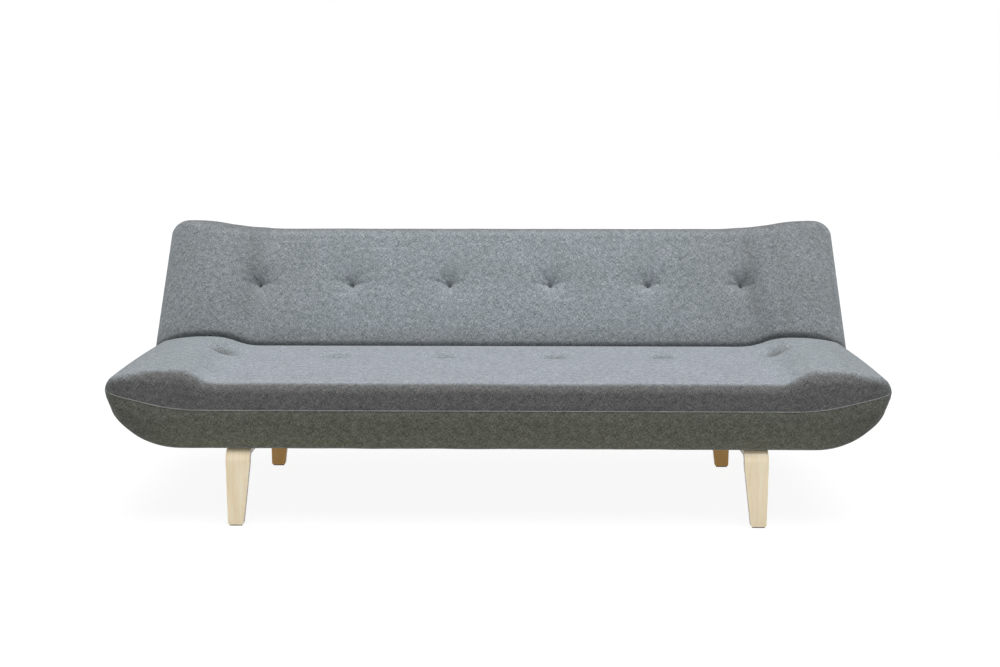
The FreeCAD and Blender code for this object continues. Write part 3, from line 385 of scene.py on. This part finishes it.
def flared(pad, points):
    """Both pads are widest where they meet: each narrows a little towards its free edge."""
    x = points[:, :, 0]
    moved = points.copy()
    moved[:, :, 0] += np.sign(x) * flare_at(pad, points[:, :, 1]) * smooth((np.abs(x) - 745.0) / 190.0)
    return moved


def placed(pad, points):
    """From laid flat, in millimetres, to where the pad is at rest, in metres."""
    x = points[..., 0]
    y = pad.side * points[..., 1]
    z = points[..., 2] - PIVOT_Z
    if pad.side > 0:
        turn = math.radians(SITTING_TURN)
        y, z = y * math.cos(turn) - z * math.sin(turn), y * math.sin(turn) + z * math.cos(turn)
    return np.stack([x, y + PIVOT_Y, z + PIVOT_Z], axis=-1) * MM


def linked(made):
    """Put an object into the scene."""
    bpy.context.scene.collection.objects.link(made)
    return made


def mesh_object(name, vertices, faces, smooth_it=True):
    """A mesh object from points in metres."""
    mesh = bpy.data.meshes.new(name)
    mesh.from_pydata([tuple(v) for v in vertices], [], [tuple(f) for f in faces])
    mesh.validate()
    if smooth_it:
        mesh.shade_smooth()
    return linked(bpy.data.objects.new(name, mesh))


def outward(made):
    """Faces all turned to the outside."""
    work = bmesh.new()
    work.from_mesh(made.data)
    bmesh.ops.recalc_face_normals(work, faces=work.faces)
    work.to_mesh(made.data)
    work.free()


def weave_places(points, marks, rows):
    """Where each point lies on the cloth, in metres along it and from the seam, so the weave stays even."""
    count, ring = points.shape[:2]
    steps = np.linalg.norm(np.diff(points, axis=1), axis=2)
    down = np.concatenate([np.zeros((count, 1)), np.cumsum(steps, axis=1)], axis=1)
    down -= down[:, marks["upright"]][:, None]
    ridge = points[:, marks["crown"] + rows // 2]
    across = np.concatenate([[0.0], np.cumsum(np.linalg.norm(np.diff(ridge, axis=0), axis=1))])
    across -= across[count // 2]
    return np.stack([np.repeat(across[:, None], ring, axis=1), down, np.zeros((count, ring))], axis=2) * MM


def painted_shade_tone(pad, points, marks):
    """Painted light and shade of the cloth at each point, from 0, darkest painted shade, to 1, fully lit."""
    column = np.arange(points.shape[1])
    sides = np.abs(points[:, :, 0])
    reach = points[:, :, 1]
    # Backrest: painted shade at its foot where it meets the seat, in the folds beside the outer tufts,
    # towards the ends, and on the band round its free edge.
    if pad.side > 0:
        foot = 0.64 + 0.36 * smooth((reach - 32.0) / 60.0)
        from_tuft = np.abs(reach - 230.0)
        fold_x = 738.0 + np.where(reach > 230.0, 0.03, 0.15) * from_tuft
        fold = 0.24 * np.exp(-((sides - fold_x) / 20.0) ** 2)
        fold = fold * smooth((from_tuft + 40.0) / 90.0) * (1.0 - smooth((from_tuft - 90.0) / 90.0))
        ends = 0.95 - 0.23 * smooth((sides - 300.0) / 600.0)
        turned = smooth((column - (marks["corner"] + 6.0)) / 8.0)[None, :]
        tone = (0.33 + 0.6 * turned) * foot * (1.0 - fold) * ends
    else:
        # Seat: painted shade on the front band below the rounded edge, which turns from the light. There is
        # more of it on the wings and tips, on the hinge face and in each tuft's dent.
        tip = smooth((sides - 850.0) / 130.0)
        rise = column[None, :] - (marks["corner"] + 8.6 - 13.0 * tip)
        tone = smooth(rise / (8.0 + 13.0 * tip))
        tone = tone * (1.0 - 0.22 * smooth((sides - 690.0) / 110.0)) * (1.0 - 0.2 * tip)
        tone[:, column >= marks["mitre"]] = 0.4
        for tuft in pad.tufts:
            away = ((sides - tuft) / 31.0) ** 2 + ((reach - (pad.tuft_reach - 9.0)) / 26.0) ** 2
            tone *= 1.0 - 0.78 * np.exp(-away ** 1.3)
    # Below the seam: painted light on the lower panel and underside, paler from the seam down to the bottom
    # and less of it towards the tips.
    below = column < marks["upright"]
    tone[:, below] = LIT_SHADE_LEVEL * smooth((marks["upright"] - column[below]) / COUNTS["lower"])[None, :]
    tone[:, below] *= 1.0 - smooth((sides[:, below] - 790.0) / 130.0)
    return tone


def pad_object(pad, name):
    """A pad's closed mesh at rest. Its first material is for the top, its second for base and hinge face."""
    points, marks = pad_grid(pad)
    points = flared(pad, points)
    count, ring = points.shape[:2]
    faces = []
    kinds = []
    for i in range(count - 1):
        for j in range(ring):
            k = (j + 1) % ring
            faces.append((i * ring + j, (i + 1) * ring + j, (i + 1) * ring + k, i * ring + k))
            kinds.append(0 if marks["upright"] <= j < marks["hinge_high"] else 1)
    faces.append(tuple(range(ring)))
    faces.append(tuple((count - 1) * ring + j for j in reversed(range(ring))))
    kinds += [1, 1]
    made = mesh_object(name, placed(pad, points).reshape(-1, 3), faces)
    made.data.polygons.foreach_set("material_index", kinds)
    weave = made.data.attributes.new("weave", "FLOAT_VECTOR", "POINT")
    weave.data.foreach_set("vector", weave_places(points, marks, pad.rows).astype(np.float32).ravel())
    # Painted light and shade, stored per point for the cloth's colour
    painted_shade = made.data.attributes.new("painted_shade", "FLOAT", "POINT")
    painted_shade.data.foreach_set("value", painted_shade_tone(pad, points, marks).astype(np.float32).ravel())
    outward(made)
    return made, points, marks


def tube(name, path, radius, sides):
    """A cord along a path in metres, radius in millimetres, with closed ends."""
    path = np.array(path, float)
    forward = np.gradient(path, axis=0)
    forward /= np.linalg.norm(forward, axis=1, keepdims=True)
    up = np.array([0.0, 0.0, 1.0])
    vertices = []
    for p, d in zip(path, forward):
        side = np.cross(d, up)
        if np.linalg.norm(side) < 0.2:
            side = np.cross(d, np.array([0.0, 1.0, 0.0]))
        side /= np.linalg.norm(side)
        other = np.cross(side, d)
        for k in range(sides):
            a = 2 * math.pi * k / sides
            vertices.append(p + (side * math.cos(a) + other * math.sin(a)) * radius * MM)
    faces = []
    for i in range(len(path) - 1):
        for k in range(sides):
            m = (k + 1) % sides
            faces.append((i * sides + k, i * sides + m, (i + 1) * sides + m, (i + 1) * sides + k))
    faces.append(tuple(reversed(range(sides))))
    faces.append(tuple((len(path) - 1) * sides + k for k in range(sides)))
    made = mesh_object(name, vertices, faces)
    outward(made)
    return made


# Materials: their lengths are metres

WHITE = (1.0, 1.0, 1.0)
PAINTED_TOP_TINT = (1.005, 0.972, 1.0)   # painted tint of the cloth where it faces the light most, on the seat's top
LEG_TOP = 0.2                    # height of the legs' flanges
BEND_RADIUS = 0.030              # outer radius of the legs' bend
VENEER = 0.0006                  # thickness of the legs' face veneer
LEG_THICKNESS = 0.015


def new_material(name):
    material = bpy.data.materials.new(name)
    material.use_nodes = True
    nodes = material.node_tree.nodes
    return material, nodes, material.node_tree.links, nodes["Principled BSDF"]


def node(nodes, kind, **values):
    made = nodes.new(kind)
    for key, value in values.items():
        setattr(made, key, value)
    return made


def maths(nodes, links, operation, a, b=None):
    """A math node. Each operand is a number or another node's output."""
    made = nodes.new("ShaderNodeMath")
    made.operation = operation
    for slot, value in enumerate((a, b)):
        if value is None:
            continue
        if isinstance(value, (int, float)):
            made.inputs[slot].default_value = value
        else:
            links.new(value, made.inputs[slot])
    return made.outputs[0]


def ramp(nodes, links, factor, stops):
    """A colour ramp through stops of (place, colour)."""
    made = nodes.new("ShaderNodeValToRGB")
    elements = made.color_ramp.elements
    while len(elements) < len(stops):
        elements.new(0.5)
    for element, (place, colour) in zip(elements, stops):
        element.position = place
        element.color = (*colour, 1.0)
    links.new(factor, made.inputs[0])
    return made.outputs[0]


def mixed(nodes, links, factor, a, b, blend="MIX"):
    """A colour mix. The factor and each colour are a plain value or another node's output."""
    made = nodes.new("ShaderNodeMix")
    made.data_type = "RGBA"
    made.blend_type = blend
    for slot, value in ((0, factor), (6, a), (7, b)):
        if isinstance(value, (int, float)):
            made.inputs[slot].default_value = value
        elif isinstance(value, tuple):
            made.inputs[slot].default_value = (*value, 1.0)
        else:
            links.new(value, made.inputs[slot])
    return made.outputs[2]


def scaled(nodes, links, vector, scale):
    made = nodes.new("ShaderNodeVectorMath")
    made.operation = "MULTIPLY"
    links.new(vector, made.inputs[0])
    made.inputs[1].default_value = scale
    return made.outputs[0]


def speckle(nodes, links, vector, scale, seed):
    """Fine noise, stretched by a scale along each axis."""
    made = nodes.new("ShaderNodeTexNoise")
    made.noise_dimensions = "4D"
    made.inputs["W"].default_value = seed
    made.inputs["Scale"].default_value = 1.0
    made.inputs["Detail"].default_value = 2.0
    made.inputs["Roughness"].default_value = 0.6
    links.new(scaled(nodes, links, vector, scale), made.inputs["Vector"])
    return made.outputs[0]


def bumped(nodes, links, shader, height, strength, distance):
    bump = nodes.new("ShaderNodeBump")
    bump.inputs["Strength"].default_value = strength
    bump.inputs["Distance"].default_value = distance
    links.new(height, bump.inputs["Height"])
    links.new(bump.outputs[0], shader.inputs["Normal"])


def fabric(name, dark, mid, light, painted_shade_tint=WHITE, painted_lit_tint=WHITE, along_surface=True):
    """Melange upholstery cloth: threads of three tones, a plain weave in the bump and soft fuzz."""
    material, nodes, links, shader = new_material(name)
    if along_surface:
        source = node(nodes, "ShaderNodeAttribute", attribute_name="weave").outputs["Vector"]
    else:
        source = nodes.new("ShaderNodeTexCoord").outputs["Object"]
    wide = speckle(nodes, links, source, (140.0, 560.0, 560.0), 1.0)
    tall = speckle(nodes, links, source, (560.0, 140.0, 560.0), 5.0)
    slub = speckle(nodes, links, source, (55.0, 75.0, 75.0), 17.0)
    flecks = maths(nodes, links, "ADD", wide, tall)
    flecks = maths(nodes, links, "MULTIPLY", flecks, 0.5)
    uneven = maths(nodes, links, "MULTIPLY", maths(nodes, links, "SUBTRACT", slub, 0.5), 0.22)
    flecks = maths(nodes, links, "ADD", flecks, uneven)
    colour = ramp(nodes, links, flecks, [(0.38, dark), (0.5, mid), (0.62, light)])
    cloud = speckle(nodes, links, source, (9.0, 9.0, 9.0), 11.0)
    tone = ramp(nodes, links, cloud, [(0.3, (0.93, 0.94, 0.93)), (0.7, (1.05, 1.05, 1.06))])
    colour = mixed(nodes, links, 1.0, colour, tone, "MULTIPLY")
    # Painted light and shade: a per-point attribute darkens the cloth where it turns from the light, and
    # pales or tints it where it faces the light.
    if along_surface:
        painted_shade = node(nodes, "ShaderNodeAttribute", attribute_name="painted_shade").outputs["Fac"]
        shade = ramp(nodes, links, painted_shade, [(0.0, painted_shade_tint), (LIT_SHADE_LEVEL, painted_lit_tint), (1.0, PAINTED_TOP_TINT)])
        colour = mixed(nodes, links, 1.0, colour, shade, "MULTIPLY")
    links.new(colour, shader.inputs["Base Color"])
    warp = node(nodes, "ShaderNodeTexWave", wave_type="BANDS", bands_direction="X")
    weft = node(nodes, "ShaderNodeTexWave", wave_type="BANDS", bands_direction="Y")
    for wave in (warp, weft):
        wave.inputs["Scale"].default_value = 1.0
        wave.inputs["Distortion"].default_value = 0.6
        wave.inputs["Detail"].default_value = 1.0
        links.new(scaled(nodes, links, source, (190.0, 190.0, 190.0)), wave.inputs["Vector"])
    height = maths(nodes, links, "MULTIPLY", warp.outputs["Fac"], weft.outputs["Fac"])
    height = maths(nodes, links, "ADD", height, flecks)
    bumped(nodes, links, shader, height, 0.35, 0.0006)
    rough = ramp(nodes, links, flecks, [(0.35, (0.95, 0.95, 0.95)), (0.65, (0.82, 0.82, 0.82))])
    links.new(rough, shader.inputs["Roughness"])
    shader.inputs["Sheen Weight"].default_value = 0.25
    shader.inputs["Sheen Roughness"].default_value = 0.45
    shader.inputs["Sheen Tint"].default_value = (0.86, 0.93, 1.0, 1.0)
    shader.inputs["Specular IOR Level"].default_value = 0.2
    return material


def layer_depth(nodes, links, source, face_y, front):
    """Depth from the outer face of a bent plywood leg, round its bend as well."""
    split = nodes.new("ShaderNodeSeparateXYZ")
    links.new(source, split.inputs[0])
    sign = 1.0 if front else -1.0
    back = maths(nodes, links, "MULTIPLY", maths(nodes, links, "SUBTRACT", split.outputs["Y"], face_y), sign)
    under = maths(nodes, links, "SUBTRACT", LEG_TOP, split.outputs["Z"])
    a = maths(nodes, links, "MAXIMUM", maths(nodes, links, "SUBTRACT", BEND_RADIUS, back), 0.0)
    b = maths(nodes, links, "MAXIMUM", maths(nodes, links, "SUBTRACT", BEND_RADIUS, under), 0.0)
    far = maths(nodes, links, "SQRT", maths(nodes, links, "ADD", maths(nodes, links, "MULTIPLY", a, a),
                                            maths(nodes, links, "MULTIPLY", b, b)))
    return maths(nodes, links, "SUBTRACT", BEND_RADIUS, far), split, back, under


def birch(name, face_y, front, tint=WHITE):
    """Lacquered birch plywood: face veneer with its grain along the leg, and plies on the cut edges. A tint
    multiplies the colour as painted shade.
    """
    material, nodes, links, shader = new_material(name)
    source = nodes.new("ShaderNodeTexCoord").outputs["Object"]
    depth, split, back, under = layer_depth(nodes, links, source, face_y, front)
    run = maths(nodes, links, "ADD", back, under)
    grain_at = nodes.new("ShaderNodeCombineXYZ")
    links.new(split.outputs["X"], grain_at.inputs[0])
    links.new(run, grain_at.inputs[1])
    fine = speckle(nodes, links, grain_at.outputs[0], (900.0, 22.0, 1.0), 2.0)
    broad = speckle(nodes, links, grain_at.outputs[0], (70.0, 6.0, 1.0), 6.0)
    grain = maths(nodes, links, "ADD", maths(nodes, links, "MULTIPLY", fine, 0.55),
                  maths(nodes, links, "MULTIPLY", broad, 0.45))
    face = ramp(nodes, links, grain, [(0.34, (0.89, 0.70, 0.45)), (0.5, (0.97, 0.82, 0.57)),
                                      (0.66, (1.0, 0.92, 0.71))])
    flecks = node(nodes, "ShaderNodeTexVoronoi", feature="F1")
    flecks.inputs["Scale"].default_value = 1.0
    links.new(scaled(nodes, links, grain_at.outputs[0], (420.0, 60.0, 1.0)), flecks.inputs["Vector"])
    fleck = ramp(nodes, links, flecks.outputs["Distance"], [(0.05, (0.86, 0.80, 0.72)), (0.16, WHITE)])
    face = mixed(nodes, links, 0.5, face, fleck, "MULTIPLY")
    plies = maths(nodes, links, "FRACT", maths(nodes, links, "MULTIPLY", depth, 1.0 / (PLY_PAIR * MM)))
    # Ply colours of the cut edges. They show the real light and dark plies, darkened well beyond their own
    # colour as painted shade on the legs' inner edges.
    ply_stripe_shaded = ramp(nodes, links, plies, [(0.0, (0.26, 0.16, 0.08)), (0.10, (0.38, 0.26, 0.15)),
                                        (0.46, (0.42, 0.30, 0.18)), (0.5, (0.60, 0.47, 0.31)),
                                        (0.94, (0.58, 0.45, 0.29)), (1.0, (0.26, 0.16, 0.08))])
    pores = speckle(nodes, links, source, (700.0, 700.0, 700.0), 8.0)
    pore = ramp(nodes, links, pores, [(0.35, (0.78, 0.74, 0.70)), (0.6, WHITE)])
    ply_stripe_shaded = mixed(nodes, links, 1.0, ply_stripe_shaded, pore, "MULTIPLY")
    edge = nodes.new("ShaderNodeSeparateXYZ")
    links.new(nodes.new("ShaderNodeTexCoord").outputs["Normal"], edge.inputs[0])
    cut = maths(nodes, links, "ABSOLUTE", edge.outputs["X"])
    cut = maths(nodes, links, "GREATER_THAN", cut, 0.55)
    inner = maths(nodes, links, "GREATER_THAN", depth, VENEER)
    inner = maths(nodes, links, "MULTIPLY", inner,
                  maths(nodes, links, "LESS_THAN", depth, LEG_THICKNESS - VENEER))
    ends = maths(nodes, links, "MAXIMUM", cut, inner)
    colour = mixed(nodes, links, ends, face, ply_stripe_shaded)
    colour = mixed(nodes, links, 1.0, colour, tint, "MULTIPLY")
    links.new(colour, shader.inputs["Base Color"])
    rough = ramp(nodes, links, grain, [(0.3, (0.46, 0.46, 0.46)), (0.7, (0.34, 0.34, 0.34))])
    links.new(rough, shader.inputs["Roughness"])
    bumped(nodes, links, shader, grain, 0.25, 0.0003)
    shader.inputs["Coat Weight"].default_value = 0.35
    shader.inputs["Coat Roughness"].default_value = 0.25
    return material


def plain_wood(name):
    """Sawn softwood of the frames."""
    material, nodes, links, shader = new_material(name)
    source = nodes.new("ShaderNodeTexCoord").outputs["Object"]
    grain = speckle(nodes, links, source, (14.0, 240.0, 240.0), 3.0)
    links.new(ramp(nodes, links, grain, [(0.35, (0.48, 0.31, 0.16)), (0.5, (0.66, 0.47, 0.27)),
                                         (0.66, (0.78, 0.60, 0.38))]), shader.inputs["Base Color"])
    shader.inputs["Roughness"].default_value = 0.62
    bumped(nodes, links, shader, grain, 0.3, 0.0004)
    return material


def metal(name, colour, roughness, metallic=1.0, mottle=0.12, scale=260.0):
    """Plated, bare or painted steel with faint spots in its colour and gloss."""
    material, nodes, links, shader = new_material(name)
    source = nodes.new("ShaderNodeTexCoord").outputs["Object"]
    spots = speckle(nodes, links, source, (scale, scale, scale), 4.0)
    low = tuple(c * (1 - mottle) for c in colour)
    high = tuple(min(1.0, c * (1 + mottle)) for c in colour)
    links.new(ramp(nodes, links, spots, [(0.35, low), (0.65, high)]), shader.inputs["Base Color"])
    links.new(ramp(nodes, links, spots, [(0.3, (roughness * 0.8,) * 3), (0.7, (roughness * 1.2,) * 3)]),
              shader.inputs["Roughness"])
    shader.inputs["Metallic"].default_value = metallic
    bumped(nodes, links, shader, spots, 0.15, 0.0002)
    return material


def felted(name, low, high, scale, roughness=0.95, strength=0.5):
    """Non-woven, felt, foam, rubber and twine: mottled and rough."""
    material, nodes, links, shader = new_material(name)
    source = nodes.new("ShaderNodeTexCoord").outputs["Object"]
    spots = speckle(nodes, links, source, (scale, scale, scale), 9.0)
    links.new(ramp(nodes, links, spots, [(0.35, low), (0.65, high)]), shader.inputs["Base Color"])
    shader.inputs["Roughness"].default_value = roughness
    bumped(nodes, links, shader, spots, strength, 0.0005)
    return material


# Upper cloth. Its first tint is painted shade, under half as bright and warmer, where the cloth turns from
# the light.
UPPER = fabric("upholstery_upper", (0.115, 0.135, 0.143), (0.250, 0.278, 0.298), (0.46, 0.49, 0.51),
               (0.44, 0.395, 0.37))
# Lower cloth: the same cloth as the upper, made much darker and more olive as painted shade on panels that
# face forward and down. Its lit tint pales it as painted light.
LOWER_SHADED = fabric("upholstery_lower_shaded", (0.044, 0.046, 0.036), (0.097, 0.099, 0.081), (0.19, 0.192, 0.165),
               painted_lit_tint=(1.38, 1.38, 1.26))
REAR = fabric("upholstery_rear", (0.120, 0.134, 0.140), (0.215, 0.232, 0.243), (0.36, 0.38, 0.395))
PIPING = fabric("upholstery_piping", (0.14, 0.145, 0.145), (0.23, 0.24, 0.235), (0.34, 0.35, 0.34),
                along_surface=False)
SLOT_MATERIALS = {
    "frame_timber": plain_wood("timber"),
    "foam": felted("foam_open", (0.70, 0.68, 0.58), (0.88, 0.86, 0.78), 300.0),
    "grey_felt": felted("felt_grey", (0.30, 0.30, 0.30), (0.52, 0.52, 0.51), 500.0),
    "webbing": felted("webbing_black", (0.05, 0.05, 0.06), (0.13, 0.13, 0.14), 400.0),
    "twine": felted("twine_grey", (0.16, 0.17, 0.18), (0.36, 0.37, 0.38), 900.0),
    "glide_felt": felted("glide_brown", (0.14, 0.11, 0.09), (0.30, 0.26, 0.22), 900.0),
    "black_lining": felted("lining_black", (0.012, 0.012, 0.013), (0.035, 0.035, 0.036), 700.0, 0.8),
    "black_rubber": felted("rubber_black", (0.016, 0.016, 0.016), (0.030, 0.030, 0.030), 500.0, 0.7, 0.25),
    "zinc_steel": metal("steel_zinc", (0.66, 0.66, 0.63), 0.34),
    "spring_steel": metal("steel_spring", (0.30, 0.30, 0.31), 0.40),
    "black_steel": metal("steel_black", (0.022, 0.022, 0.023), 0.42, 0.0, 0.2, 500.0),
}
LEG_FRONT = birch("birch_front", FRONT_Y * MM, True)
# The rear legs stand in the seat's shadow. Their tint is painted shade, darker and more orange than the front
# legs.
LEG_REAR_SHADED = birch("birch_rear_shaded", (FRONT_Y + LEG_SPACING) * MM, False, (1.0, 0.65, 0.24))


def dress(made, material):
    """Give an object one material."""
    made.data.materials.clear()
    made.data.materials.append(material)


for row in frame["record"]["subparts"]:
    if row["material_slot"] in SLOT_MATERIALS:
        dress(frame["nodes"][row["node"]], SLOT_MATERIALS[row["material_slot"]])
for end in ("left", "right"):
    dress(frame["nodes"]["leg_front_" + end], LEG_FRONT)
    dress(frame["nodes"]["leg_rear_" + end], LEG_REAR_SHADED)

# Pads

SEAT = Seat()
BACK = Back()
seat, seat_points, seat_marks = pad_object(SEAT, "seat_pad")
seat.data.materials.append(UPPER)
seat.data.materials.append(LOWER_SHADED)
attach(seat, "seat")
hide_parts("seat_upper_cover", "seat_lower_cover", "seat_foam")

back, back_points, back_marks = pad_object(BACK, "back_pad")
back.data.materials.append(UPPER)
back.data.materials.append(REAR)
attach(back, "backrest")
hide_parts("back_front_cover", "back_rear_cover", "back_foam")

# Piping round the seat's front and both tips
PIPING_RADIUS = 1.35
SEAM_RADIUS = 0.9
THREAD_RADIUS = 0.65
seam_row = seat_points[:, seat_marks["upright"]].copy()
seam_row[:, 1] += 0.6
end_rows = []
for index, side in ((0, -1), (-1, 1)):
    start = seam_row[index]
    reaches = np.linspace(start[1] - 4, 40.0, 40)
    out = side * (SEAT.half + 0.5 + flare_at(SEAT, reaches))
    end_rows.append(np.stack([out, reaches, np.full_like(reaches, start[2])], axis=1))
path = np.vstack([end_rows[0][::-1], seam_row, end_rows[1]])
piping = tube("seat_welt", placed(SEAT, path), PIPING_RADIUS, 10)
dress(piping, PIPING)
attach(piping, "seat")
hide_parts("seat_piping")

# Sewn edge between the front panel and the underside
edge_row = seat_points[:, seat_marks["lower"]]
edge_seam = tube("seat_edge_seam", placed(SEAT, edge_row), SEAM_RADIUS, 8)
dress(edge_seam, PIPING)
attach(edge_seam, "seat")

# Sewn edge round the backrest, between its front and rear covers
back_row = back_points[:, back_marks["upright"]]
back_seam = tube("back_edge_seam", placed(BACK, back_row), SEAM_RADIUS, 8)
dress(back_seam, PIPING)
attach(back_seam, "backrest")


def tuft_stitches(name, pad, points, marks):
    """Two crossed threads at the bottom of each tuft, whose ends dip into the cloth."""
    half_wide, half_deep = 4.2, 3.4
    work = bmesh.new()
    top = points[:, marks["crown"]:marks["fillet"]]
    for tuft in pad.tufts:
        for side in (-1, 1):
            for lean in (-1, 1):
                path = []
                for step in np.linspace(-1.0, 1.0, 7):
                    x = side * tuft + half_wide * step
                    reach = pad.tuft_reach + half_deep * step * lean
                    away = (top[:, :, 0] - x) ** 2 + (top[:, :, 1] - reach) ** 2
                    z = top[:, :, 2].ravel()[np.argmin(away)]
                    path.append((x, reach, z + 1.1 - 1.4 * step ** 4))
                part = tube("thread", placed(pad, np.array(path)), THREAD_RADIUS, 6)
                work.from_mesh(part.data)
                spare = part.data
                bpy.data.objects.remove(part)
                bpy.data.meshes.remove(spare)
    mesh = bpy.data.meshes.new(name)
    work.to_mesh(mesh)
    work.free()
    mesh.shade_smooth()
    made = linked(bpy.data.objects.new(name, mesh))
    dress(made, SLOT_MATERIALS["twine"])
    return made


seat_threads = tuft_stitches("seat_tuft_threads", SEAT, seat_points, seat_marks)
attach(seat_threads, "seat")
back_threads = tuft_stitches("back_tuft_threads", BACK, back_points, back_marks)
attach(back_threads, "backrest")

# Lining under the seat
LINING_HALF = 803.0
LINING_Z = 201.0
LINING_LOWEST = 197.5
FLANGE_MIDDLE = 62.0             # from a leg's outer face


def lining():
    """Cloth stretched between staples under the seat: it sags a little, and is flat where the legs press."""
    columns, rows = 180, 64
    xs = np.linspace(-LINING_HALF, LINING_HALF, columns)
    ys = np.linspace(FRONT_Y + 20.5, PIVOT_Y - 12.5, rows)
    x, y = np.meshgrid(xs, ys, indexing="ij")
    to_edge = np.minimum(y - ys[0], ys[-1] - y)
    inside = np.minimum(LINING_HALF - np.abs(x), to_edge)
    sag = 2.2 * smooth(inside / 120.0) * (0.6 + 0.4 * ripple(x, y, 210.0, 31.0))
    pull = np.sin(x / 12.5) * np.exp(-to_edge / 16.0) * 0.35
    near_leg = np.exp(-(np.maximum(np.abs(np.abs(x) - LEG_X) - 36.0, 0.0) / 18.0) ** 2)
    legs_y = np.minimum(np.abs(y - (FRONT_Y + FLANGE_MIDDLE)),
                        np.abs(y - (FRONT_Y + LEG_SPACING - FLANGE_MIDDLE)))
    near_leg = near_leg * np.exp(-(np.maximum(legs_y - 66.0, 0.0) / 18.0) ** 2)
    z = LINING_Z - sag * (1 - near_leg) + pull * (1 - near_leg)
    z = np.maximum(z, LINING_LOWEST)
    vertices = np.stack([x, y, z], axis=2).reshape(-1, 3) * MM
    faces = [(i * rows + j, (i + 1) * rows + j, (i + 1) * rows + j + 1, i * rows + j + 1)
             for i in range(columns - 1) for j in range(rows - 1)]
    made = mesh_object("seat_lining", vertices, faces)
    thick = made.modifiers.new("thick", "SOLIDIFY")
    thick.thickness = 0.0006
    thick.offset = 0.0
    return made


under = lining()
dress(under, SLOT_MATERIALS["black_lining"])
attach(under, "seat")
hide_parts("seat_dust_cover")

# Camera, floor and light

WORLD_LIGHT = 0.22               # strength of the world's light on the object. The rest is only seen
FLOOR_GLOW = 0.78                # share of the seen floor that is plain white
FLOOR_LIFT = 0.14

camera = linked(bpy.data.objects.new("camera", bpy.data.cameras.new("camera")))
camera.data.lens = 43.2
camera.data.sensor_width = 36.0
camera.location = (0.05, -3.342, 0.997)
camera.rotation_euler = (math.radians(90.0 - 9.62), 0.0, math.radians(0.8))
bpy.context.scene.camera = camera


def background_rays(nodes, links):
    """1 for the background as it is seen, in gloss and through glass too, and 0 for light on the object."""
    rays = nodes.new("ShaderNodeLightPath").outputs
    indirect = maths(nodes, links, "MAXIMUM", rays["Is Glossy Ray"], rays["Is Transmission Ray"])
    return maths(nodes, links, "MAXIMUM", rays["Is Camera Ray"], indirect)


floor = mesh_object("floor", [(-30, -30, 0), (30, -30, 0), (30, 30, 0), (-30, 30, 0)], [(0, 1, 2, 3)], False)
floor_material, nodes, links, shader = new_material("floor_white")
shader.inputs["Base Color"].default_value = (0.5, 0.5, 0.5, 1.0)
shader.inputs["Roughness"].default_value = 0.9
shader.inputs["Specular IOR Level"].default_value = 0.0
seen = background_rays(nodes, links)
glow = nodes.new("ShaderNodeEmission")
glow.inputs["Strength"].default_value = 1.0
pale = nodes.new("ShaderNodeMixShader")
links.new(maths(nodes, links, "MULTIPLY", seen, FLOOR_GLOW), pale.inputs[0])
links.new(shader.outputs[0], pale.inputs[1])
links.new(glow.outputs[0], pale.inputs[2])
lift = nodes.new("ShaderNodeEmission")
links.new(maths(nodes, links, "MULTIPLY", seen, FLOOR_LIFT), lift.inputs["Strength"])
both = nodes.new("ShaderNodeAddShader")
links.new(pale.outputs[0], both.inputs[0])
links.new(lift.outputs[0], both.inputs[1])
links.new(both.outputs[0], nodes["Material Output"].inputs["Surface"])
dress(floor, floor_material)

world = bpy.data.worlds.new("world")
bpy.context.scene.world = world
world.use_nodes = True
nodes = world.node_tree.nodes
links = world.node_tree.links
sky = nodes["Background"]
sky.inputs["Color"].default_value = (1.0, 1.0, 1.0, 1.0)
seen = background_rays(nodes, links)
strength = maths(nodes, links, "ADD", maths(nodes, links, "MULTIPLY", seen, 1.0 - WORLD_LIGHT), WORLD_LIGHT)
links.new(strength, sky.inputs["Strength"])


def sun(name, place, strength, spread):
    """A wide soft lamp far off, shining from place towards the object."""
    light = bpy.data.lights.new(name, "SUN")
    light.energy = strength
    light.angle = math.radians(spread)
    made = linked(bpy.data.objects.new(name, light))
    made.location = place
    made.rotation_euler = (-Vector(place)).to_track_quat("-Z", "Y").to_euler()


def panel(name, place, aim, size, power):
    """A flat lamp at place, shining at aim."""
    light = bpy.data.lights.new(name, "AREA")
    light.shape = "RECTANGLE"
    light.size, light.size_y = size
    light.energy = power
    made = linked(bpy.data.objects.new(name, light))
    made.location = place
    made.rotation_euler = (Vector(aim) - Vector(place)).to_track_quat("-Z", "Y").to_euler()


sun("key", (0.5, -0.45, 4.0), 3.25, 50.0)
sun("fill", (-0.8, -4.0, 0.3), 0.72, 60.0)
panel("middle", (0.0, -0.6, 2.4), (0.0, -0.1, 0.4), (1.1, 0.7), 5.0)

bpy.context.scene.view_settings.view_transform = "Standard"
